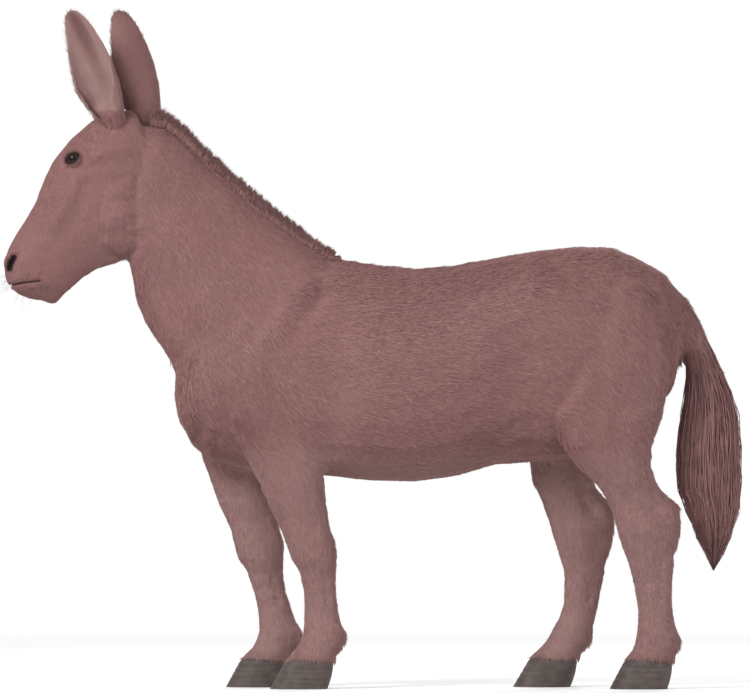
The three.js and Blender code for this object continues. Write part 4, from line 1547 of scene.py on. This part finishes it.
@dataclass
class Strands:
    """Long hair: three-sided strands that follow their own paths and end in points."""

    paths: np.ndarray
    outward: np.ndarray
    width: np.ndarray
    flat: float = 0.5

    def join(self, name: str, uv: np.ndarray, dark: np.ndarray, light: np.ndarray) -> bpy.types.Object:
        """Joins the strands into one mesh, as Tufts.join does.

        Args:
            name: the piece's name.
            uv: each root's place on the skin's unwrap.
            dark: how dark each strand is.
            light: how light each strand is.

        Returns:
            The object, with its map and its points' values.
        """
        count, steps, _ = self.paths.shape
        tangent = unit(np.gradient(self.paths, axis=1))
        across = unit(np.cross(self.outward[:, None, :], tangent))
        up = np.cross(tangent, across)
        share = np.linspace(0.0, 1.0, steps)
        taper = (np.minimum(1.0, 0.55 + 1.6 * share) * (1.0 - share**3.0))[None, :, None]
        wide = self.width[:, None, None] * taper
        rings = np.stack(
            [
                self.paths - across * wide * 0.5,
                self.paths + across * wide * 0.5,
                self.paths + up * wide * self.flat,
            ],
            axis=2,
        )
        ring_points = rings[:, :-1].reshape(count, -1, 3)
        points = np.concatenate([ring_points, self.paths[:, -1:]], axis=1)
        per = points.shape[1]
        faces = [(0, 2, 1)]
        for low in range(0, (steps - 2) * 3, 3):
            for a, b in ((0, 1), (1, 2), (2, 0)):
                faces += [(low + a, low + b, low + 3 + b), (low + a, low + 3 + b, low + 3 + a)]
        last = (steps - 2) * 3
        faces += [(last, last + 1, per - 1), (last + 1, last + 2, per - 1), (last + 2, last, per - 1)]
        triangles = (np.arange(count)[:, None, None] * per + np.array(faces)[None]).reshape(-1, 3)
        along = np.append(np.repeat(share[:-1], 3), 1.0)
        spot = np.stack([np.append(np.tile([0.0, 1.0, 0.5], steps - 1), 0.5), along], axis=1) - 0.5
        places_uv = uv[:, None, :] + spot[None] * PATCH
        mesh = joined(name, points.reshape(-1, 3), triangles, places_uv.reshape(-1, 2))
        store(mesh, "along", np.tile(along, count))
        store(mesh, "dark", np.repeat(dark, per))
        store(mesh, "light", np.repeat(light, per))
        return add_object(name, mesh)


class Ground:
    """Finds the skin under a place, with its direction and its place on the unwrap."""

    def __init__(self, surface: Surface) -> None:
        """Builds the search tree."""
        self.surface = surface
        self.tree = BVHTree.FromPolygons(surface.points.tolist(), surface.corners.tolist())

    def nearest(self, place: np.ndarray) -> tuple:
        """The skin's nearest point, its normal and its place on the unwrap."""
        found, normal, index, _ = self.tree.find_nearest(Vector(place))
        return np.array(found), np.array(normal), self.surface.uv[index].mean(axis=0)

    def nearest_uv(self, places: np.ndarray) -> np.ndarray:
        """The places on the unwrap of the skin nearest to many places."""
        return np.array([self.nearest(place)[2] for place in places])


@dataclass
class Mane:
    """The stiff mane that stands up from the poll to the withers."""

    nodes: dict
    ground: Ground
    finish: CoatFinish
    count: int = 10500
    half_wide: float = 0.012
    steps: int = 4
    width: float = 0.0026
    lock: float = 0.026
    shortest: float = 0.008
    tallest: float = 0.085
    slant: float = 0.34
    end_slant: float = 1.1
    end: tuple = (0.080, 0.015)

    def lean(self, x: float, y: float, rear: float, chance: np.random.Generator) -> np.ndarray:
        """The direction of one hair: up and a little back, and laid well back at the rear end."""
        laid = self.end_slant * float(ease(rear - self.end[0], rear - self.end[1], np.array(x)))
        back = self.slant + laid + 0.10 * chance.standard_normal()
        upright = np.array([back, 0.06 * y / self.half_wide, 0.94])
        return unit(upright + np.array([0.0, 0.03 * chance.standard_normal(), 0.0]))

    def in_lock(self, x: float, y: float) -> float:
        """How far a root is from the middle of its lock, from -0.5 to 0.5. The locks' sizes are uneven."""
        place = x / self.lock + 0.9 * math.sin(x * 23.0) + 0.4 * math.sin(x * 61.0) + y * 9.0
        return place - round(place)

    def build(self) -> bpy.types.Object:
        """Grows the mane up to the outline of its node."""
        chance = np.random.default_rng(SEED + 301)
        node = self.nodes["mane"].data
        outline = BVHTree.FromPolygons(
            [v.co for v in node.vertices], [tuple(p.vertices) for p in node.polygons]
        )
        low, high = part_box("mane")
        paths, outward, uv, widths = [], [], [], []
        while len(paths) < self.count:
            x = chance.uniform(low.x + 0.004, high.x - 0.010)
            y = chance.uniform(-1.0, 1.0) * self.half_wide
            hit = self.ground.tree.ray_cast(Vector((x, y, 1.80)), Vector((0, 0, -1)))
            if hit[0] is None:
                continue
            root = np.array(hit[0])
            lean = self.lean(x, y, high.x, chance)
            inside = np.array([x, y * 0.6, root[2]]) + lean * 0.012
            exit_point = outline.ray_cast(Vector(inside), Vector(lean))[0]
            reach = 0.020 if exit_point is None else float(np.linalg.norm(np.array(exit_point) - root))
            offset = self.in_lock(x, y)
            room = self.shortest + 0.60 * (high.x - self.shortest - x)
            uneven = chance.uniform(0.90, 1.04) + 0.03 - 0.24 * offset * offset
            tall = min(reach, self.tallest, room) * uneven
            sway = np.array([chance.uniform(-0.4, 0.6), chance.uniform(-0.5, 0.5) * 0.4, 0.0])
            sway = sway * tall * 0.18
            sway[0] -= 0.32 * offset * self.lock
            share = np.linspace(-0.06, 1.0, self.steps)[:, None]
            path = root + lean * tall * share + sway * np.maximum(share, 0.0) ** 2
            paths.append(path)
            outward.append([0.0, 1.0 if y >= 0 else -1.0, 0.0])
            uv.append(self.ground.surface.uv[hit[2]].mean(axis=0))
            widths.append(self.width * chance.uniform(0.7, 1.25))
        strands = Strands(np.array(paths), np.array(outward), np.array(widths))
        tone = chance.random(self.count)
        piece = strands.join("mane_hair", np.array(uv), 0.18 + 0.34 * tone, 0.12 * (1 - tone))
        piece.data.materials.append(self.finish.hair_material("mane_hair"))
        return dress(piece, ("mane",))


@dataclass
class TailSwitch:
    """The long hair of the tail, gathered to a point as its node is."""

    nodes: dict
    ground: Ground
    finish: CoatFinish
    count: int = 4900
    steps: int = 8
    width: float = 0.0042
    top: float = 0.925

    def sections(self) -> tuple:
        """The node's middle and half widths by height, with the dock above it."""
        nodes = (self.nodes["tail_switch"], self.nodes["tail_dock"])
        points = np.concatenate([read_points(node.data) for node in nodes])
        rows = []
        for height in np.arange(points[:, 2].min() + 0.004, self.top + 0.030, 0.01):
            near = points[np.abs(points[:, 2] - height) < 0.034]
            low, high = near.min(0), near.max(0)
            rows.append((height, (low[0] + high[0]) / 2, (high[0] - low[0]) / 2, (high[1] - low[1]) / 2))
        rows[0] = (points[:, 2].min(), rows[0][1], 0.002, 0.002)
        return np.array(rows).T

    def build(self) -> bpy.types.Object:
        """Hangs the locks inside the node's outline."""
        chance = np.random.default_rng(SEED + 401)
        heights, middle, half_x, half_y = self.sections()
        bottom = heights[0]
        count = self.count
        angle = chance.uniform(0, 2 * math.pi, count)
        reach = np.sqrt(chance.uniform(0.10, 1.0, count)) * 0.97
        top = bottom + (self.top - bottom) * chance.uniform(0.30, 1.0, count) ** 0.8
        end = bottom + (top - bottom) * chance.beta(0.8, 3.4, count) * 0.75
        share = np.linspace(0.0, 1.0, self.steps)[None, :]
        z = top[:, None] + (end - top)[:, None] * share
        gather = np.minimum(1.0, 0.55 + share * 1.4)
        wave = 0.05 * np.sin(share * 7.0 + chance.uniform(0, 6, count)[:, None])
        across = (reach * np.cos(angle))[:, None] * gather + wave
        deep = (reach * np.sin(angle))[:, None] * gather + wave[::-1]
        x = np.interp(z, heights, middle) + across * np.interp(z, heights, half_x)
        y = deep * np.interp(z, heights, half_y)
        paths = np.stack([x, y, z], axis=2)
        outward = np.stack([np.cos(angle), np.sin(angle), np.full(count, 0.05)], axis=1)
        strands = Strands(paths, unit(outward), self.width * chance.uniform(0.6, 1.2, count))
        tone = chance.random(count)
        uv = self.ground.nearest_uv(paths[:, 0])
        piece = strands.join("tail_hair", uv, 0.12 + 0.40 * tone, 0.14 * (1 - tone))
        piece.data.materials.append(self.finish.hair_material("tail_hair"))
        return dress(piece, ("tail_switch",))


@dataclass
class FineHair:
    """Lashes on the lids, and feelers round the lips and on the chin.

    A row of lashes has the half turns round the lid where it starts and ends, their number and their length.
    """

    face: Face
    lids: dict
    ground: Ground
    finish: CoatFinish
    lashes: tuple = ((0.10, 0.92, 54, 0.0135), (-0.86, -0.16, 26, 0.0060))
    lash_width: float = 0.00055
    feelers: int = 42
    feeler_width: float = 0.00050
    steps: int = 5

    def lash(self, lids: Lids, turn: float, length: float, sweep: float) -> np.ndarray:
        """The path of one lash, which grows out of the lid's edge and curves away from the opening."""
        radius = self.face.eye_radius
        root = lids.centre + lids.ray(turn, 0.035) * (radius + 0.0016)
        away = unit(lids.ray(turn, 0.40) - lids.ray(turn, 0.0))
        level, _, out = lids.axes
        start = unit(0.9 * lids.ray(turn, 0.0) + 0.25 * out - 0.15 * away + sweep * level)
        share = np.linspace(0.0, 1.0, self.steps)[:, None]
        return root + length * (start * share + away * 0.55 * share**2)

    def spot(self, chance: np.random.Generator) -> tuple:
        """Where on the face a feeler grows: on the upper lip, or on the lower lip and the chin."""
        if chance.random() < 0.45:
            return chance.uniform(0.328, 0.362), chance.uniform(-0.060, -0.035)
        along = chance.uniform(0.270, 0.350)
        return along, 0.5 * (along - 0.27) - chance.uniform(0.085, 0.15)

    def feeler(
        self, side: float, along: float, ahead: float, length: float, sway: np.ndarray
    ) -> np.ndarray | None:
        """The path of one feeler, which stands off the skin and droops, or None where it misses the skin."""
        start = self.face.place(along, ahead, side * 0.2)
        root, normal, _, _ = self.ground.tree.ray_cast(Vector(start), Vector((0.0, -side, 0.0)))
        if root is None:
            return None
        heading = unit(np.array(normal) * 0.9 + self.face.along * 0.55 + sway * 0.35)
        share = np.linspace(0.0, 1.0, self.steps)[:, None]
        return np.array(root) + length * (heading * share - np.array([0.0, 0.0, 0.22]) * share**2)

    def build(self) -> bpy.types.Object:
        """Makes all of them as one joined mesh."""
        chance = np.random.default_rng(SEED + 501)
        paths, outward, widths = [], [], []
        for lids in self.lids.values():
            for start, end, count, length in self.lashes:
                for turn in np.linspace(start, end, count) * math.pi:
                    reach = length * (0.55 + 0.45 * abs(math.sin(turn))) * chance.uniform(0.8, 1.15)
                    paths.append(self.lash(lids, turn, reach, 0.18 * chance.standard_normal()))
                    outward.append(lids.axes[1])
                    widths.append(self.lash_width)
        for side in SIDES.values():
            for _ in range(self.feelers):
                along, ahead = self.spot(chance)
                length = chance.uniform(0.018, 0.048)
                path = self.feeler(side, along, ahead, length, chance.standard_normal(3))
                if path is not None:
                    paths.append(path)
                    outward.append((0.0, 0.0, 1.0))
                    widths.append(self.feeler_width)
        paths = np.array(paths)
        strands = Strands(paths, np.array(outward), np.array(widths), flat=0.9)
        count = len(paths)
        uv = self.ground.nearest_uv(paths[:, 0])
        piece = strands.join("fine_hair", uv, np.full(count, 0.85), np.zeros(count))
        piece.data.materials.append(self.finish.hair_material("fine_hair"))
        return dress(piece)


# ---- Eyes and hooves -----------------------------------------------------------------------------


@dataclass
class Eye:
    """One eyeball with a low cornea, which the lids close over."""

    name: str
    lids: Lids
    finish: EyeFinish
    bulge: float = 0.0012
    rings: int = 40
    around: int = 48

    def build(self) -> bpy.types.Object:
        """Makes the ball, with a map of how far each place is from the gaze."""
        _, _, out = self.lids.axes
        radius = self.lids.face.eye_radius
        flat = unit(np.array([-1.0, 0.0, 0.0]) - out * -out[0])
        upright = np.cross(out, flat)
        spots = {}
        bm = bmesh.new()

        def shape(share: float, angle: float) -> Vector:
            """A place on the ball, which swells a little towards the gaze."""
            away = math.pi * (1.0 - share)
            around = flat * math.cos(angle) + upright * math.sin(angle)
            ray = out * math.cos(away) + around * math.sin(away)
            swell = self.bulge * max(0.0, 1.0 - (away / math.radians(44)) ** 2)
            return Vector(self.lids.centre + ray * (radius - 0.0002 + swell))

        for vertex in wrap_ball(bm, self.around, self.rings, shape):
            ray = unit(np.array(vertex.co) - self.lids.centre)
            away = math.acos(max(-1.0, min(1.0, float(ray @ out)))) / (math.pi / 2)
            turn = math.atan2(float(ray @ upright), float(ray @ flat))
            spots[vertex] = (away * math.cos(turn), away * math.sin(turn))
        bmesh.ops.recalc_face_normals(bm, faces=bm.faces)
        layer = bm.loops.layers.uv.new("gaze")
        for face in bm.faces:
            face.smooth = True
            for loop in face.loops:
                loop[layer].uv = spots[loop.vert]
        piece = add_object(f"{self.name}_ball", from_bmesh(self.name, bm))
        piece.data.materials.append(self.finish.material())
        return dress(piece, (self.name,))


@dataclass
class Hoof:
    """One hoof: a flat sole, a ringed wall, bulbs at the heel and a soft rim under the coat."""

    name: str
    shape: HoofShape
    material: bpy.types.Material
    rings: int = 40
    around: int = 72
    growth: float = 0.00045
    squareness: float = 0.84
    sole: float = 0.16
    rim: float = 0.84

    def build(self) -> bpy.types.Object:
        """Makes the hoof in place of its node."""
        bm = bmesh.new()
        wrap_ball(bm, self.around, self.rings, self.place)
        bmesh.ops.recalc_face_normals(bm, faces=bm.faces)
        for face in bm.faces:
            face.smooth = True
        mesh = from_bmesh(f"{self.name}_horn", bm)
        mesh.materials.append(self.material)
        return dress(add_object(f"{self.name}_horn", mesh), (self.name,))

    def place(self, share: float, angle: float) -> tuple:
        """A place on the hoof: the sole first, then up the wall, then in over the rim."""
        shape = self.shape
        up = min(1.0, max(0.0, (share - self.sole) / (self.rim - self.sole)))
        spread = share / self.sole if share < self.sole else (1.0 - share) / (1.0 - self.rim)
        spread = 1.0 - (1.0 - min(1.0, spread)) ** 2
        ahead, side = -math.cos(angle), math.sin(angle)
        ahead = math.copysign(abs(ahead) ** self.squareness, ahead)
        side = math.copysign(abs(side) ** self.squareness, side)
        x_low = shape.x[0] + (shape.rim_x[0] - shape.x[0]) * up
        x_high = shape.x[1] + (shape.rim_x[1] - shape.x[1]) * up
        half = shape.half * (1.0 - 0.10 * up)
        heel = max(0.0, ahead) ** 3
        tuck = 0.0050 * max(0.0, (up - 0.80) / 0.20) ** 2
        notch = heel * math.exp(-((side / 0.16) ** 2)) * 0.010 * (0.3 + 0.7 * up)
        bulb = heel * 0.004 * math.sin(math.pi * up)
        ripple = self.growth * math.sin(up * 34.0 + 0.6 * ahead) * (1.0 - heel) * math.sin(math.pi * up)
        middle, reach = (x_low + x_high) / 2, (x_high - x_low) / 2
        x = middle + ahead * (reach + ripple + bulb - tuck) * spread - notch * spread
        y = shape.y + side * (half + ripple - tuck) * spread
        slope = shape.rim_z[0] + (shape.rim_z[1] - shape.rim_z[0]) * (ahead * spread + 1.0) / 2
        return (x, y, up * slope)


# ---- The studio ----------------------------------------------------------------------------------


@dataclass(frozen=True)
class Studio:
    """A pale floor that runs out into white, soft lights and the camera at the animal's left side."""

    floor_radius: float = 80.0
    distance: float = 45.0
    sensor: float = 36.0
    view_wide: float = 1.874
    aim: tuple = (0.0070, 0.8530)
    elevation: float = math.radians(0.3)
    overhead: float = 0.62
    faced: tuple = (0.0, 0.0, 0.8)
    lights: tuple = (
        ("key", (-3.2, -4.2, 3.8), 2.2, 300.0),
        ("fill", (3.6, -3.4, 2.0), 3.0, 70.0),
        ("back", (1.5, 4.0, 3.4), 2.6, 170.0),
    )

    def floor(self) -> None:
        """Lays the floor: dull and pale round the animal, lit white farther out."""
        bm = bmesh.new()
        bmesh.ops.create_circle(bm, cap_ends=True, segments=128, radius=self.floor_radius)
        piece = add_object("floor", from_bmesh("floor", bm))
        shader = Shader("floor")
        coordinates = shader.add("ShaderNodeTexCoord")
        away = shader.add("ShaderNodeVectorMath", operation="LENGTH")
        shader.link(coordinates.outputs["Object"], away.inputs[0])
        far = shader.ramp(away.outputs["Value"], ((0.0, (0.0, 0.0, 0.0)), (1.0, (1.0, 1.0, 1.0))))
        reach = shader.add("ShaderNodeMapRange", interpolation_type="SMOOTHSTEP")
        reach.inputs["From Min"].default_value = 1.6
        reach.inputs["From Max"].default_value = 7.0
        shader.link(away.outputs["Value"], reach.inputs["Value"])
        shader.link(reach.outputs["Result"], far.node.inputs["Fac"])
        near = shader.blend((0.80, 0.80, 0.80), (0.0, 0.0, 0.0), far)
        shader.link(near, shader.body.inputs["Base Color"])
        shader.link(far, shader.body.inputs["Emission Color"])
        shader.finish(Roughness=0.9, Specular_IOR_Level=0.0, Emission_Strength=1.0)
        piece.data.materials.append(shader.material)

    def light(self, name: str, place: tuple, size: float, power: float) -> None:
        """Hangs a soft light that faces the animal."""
        data = bpy.data.lights.new(name, "AREA")
        data.shape = "DISK"
        data.size = size
        data.energy = power
        lamp = bpy.data.objects.new(name, data)
        lamp.location = place
        towards = Vector(self.faced) - Vector(place)
        lamp.rotation_euler = towards.to_track_quat("-Z", "Y").to_euler()
        bpy.context.scene.collection.objects.link(lamp)

    def sky(self) -> None:
        """Lights the room: white near the horizon and softer overhead."""
        world = bpy.data.worlds.new("studio")
        world.use_nodes = True
        nodes, links = world.node_tree.nodes, world.node_tree.links
        coordinates = nodes.new("ShaderNodeTexCoord")
        split = nodes.new("ShaderNodeSeparateXYZ")
        ramp = nodes.new("ShaderNodeValToRGB")
        ramp.color_ramp.elements[0].position = 0.10
        ramp.color_ramp.elements[0].color = (1.0, 1.0, 1.0, 1.0)
        ramp.color_ramp.elements[1].position = 0.45
        ramp.color_ramp.elements[1].color = (self.overhead, self.overhead, self.overhead, 1.0)
        links.new(coordinates.outputs["Generated"], split.inputs[0])
        links.new(split.outputs["Z"], ramp.inputs["Fac"])
        links.new(ramp.outputs["Color"], nodes["Background"].inputs["Color"])
        bpy.context.scene.world = world

    def camera(self) -> None:
        """Sets a long lens level with the animal."""
        data = bpy.data.cameras.new("camera")
        data.sensor_width = self.sensor
        data.lens = self.sensor * self.distance / self.view_wide
        data.clip_end = 200.0
        camera = bpy.data.objects.new("camera", data)
        x, z = self.aim
        lift = math.sin(self.elevation) * self.distance
        camera.location = (x, -math.cos(self.elevation) * self.distance, z + lift)
        camera.rotation_euler = (math.pi / 2 - self.elevation, 0.0, 0.0)
        bpy.context.scene.collection.objects.link(camera)
        bpy.context.scene.camera = camera

    def build(self) -> None:
        """Sets up the whole studio."""
        self.floor()
        for light in self.lights:
            self.light(*light)
        self.sky()
        self.camera()
        bpy.context.scene.view_settings.view_transform = "Standard"


def main() -> None:
    """Builds the donkey around the frame and reports each piece."""
    logging.basicConfig(level=logging.INFO, format="%(relativeCreated)6d %(name)s %(message)s")
    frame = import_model()
    nodes = frame["nodes"]
    face = Face.measured()
    shapes = {leg: HoofShape.measured(f"{leg}_hoof", nodes[f"{leg}_hoof"]) for leg in LEGS}
    regions = Regions(face, tuple(shapes.values()))
    left_tip, right_tip = (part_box(f"ear_{name}")[1].z for name in SIDES)
    ears = {
        "left": Ear(SIDES["left"], (-0.6345, -0.042, 1.372), 0.32, left_tip),
        "right": Ear(SIDES["right"], (-0.5525, 0.042, 1.366), 0.211, right_tip, splay=0.12),
    }
    lids = {name: Lids(face, side) for name, side in SIDES.items()}
    coat_finish = CoatFinish()
    skin = Skin(nodes, regions, ears, lids, coat_finish)
    surface = Surface(skin.build().data)
    Coat(surface, regions, Lie(regions, ears, lids), skin.markings_and_shade, coat_finish).build()
    ground = Ground(surface)
    Mane(nodes, ground, coat_finish).build()
    TailSwitch(nodes, ground, coat_finish).build()
    FineHair(face, lids, ground, coat_finish).build()
    for name in SIDES:
        Eye(f"eye_{name}", lids[name], EyeFinish()).build()
    horn = HornFinish().material()
    for leg in LEGS:
        Hoof(f"{leg}_hoof", shapes[leg], horn).build()
    Studio().build()


if __name__ == "__main__":
    main()
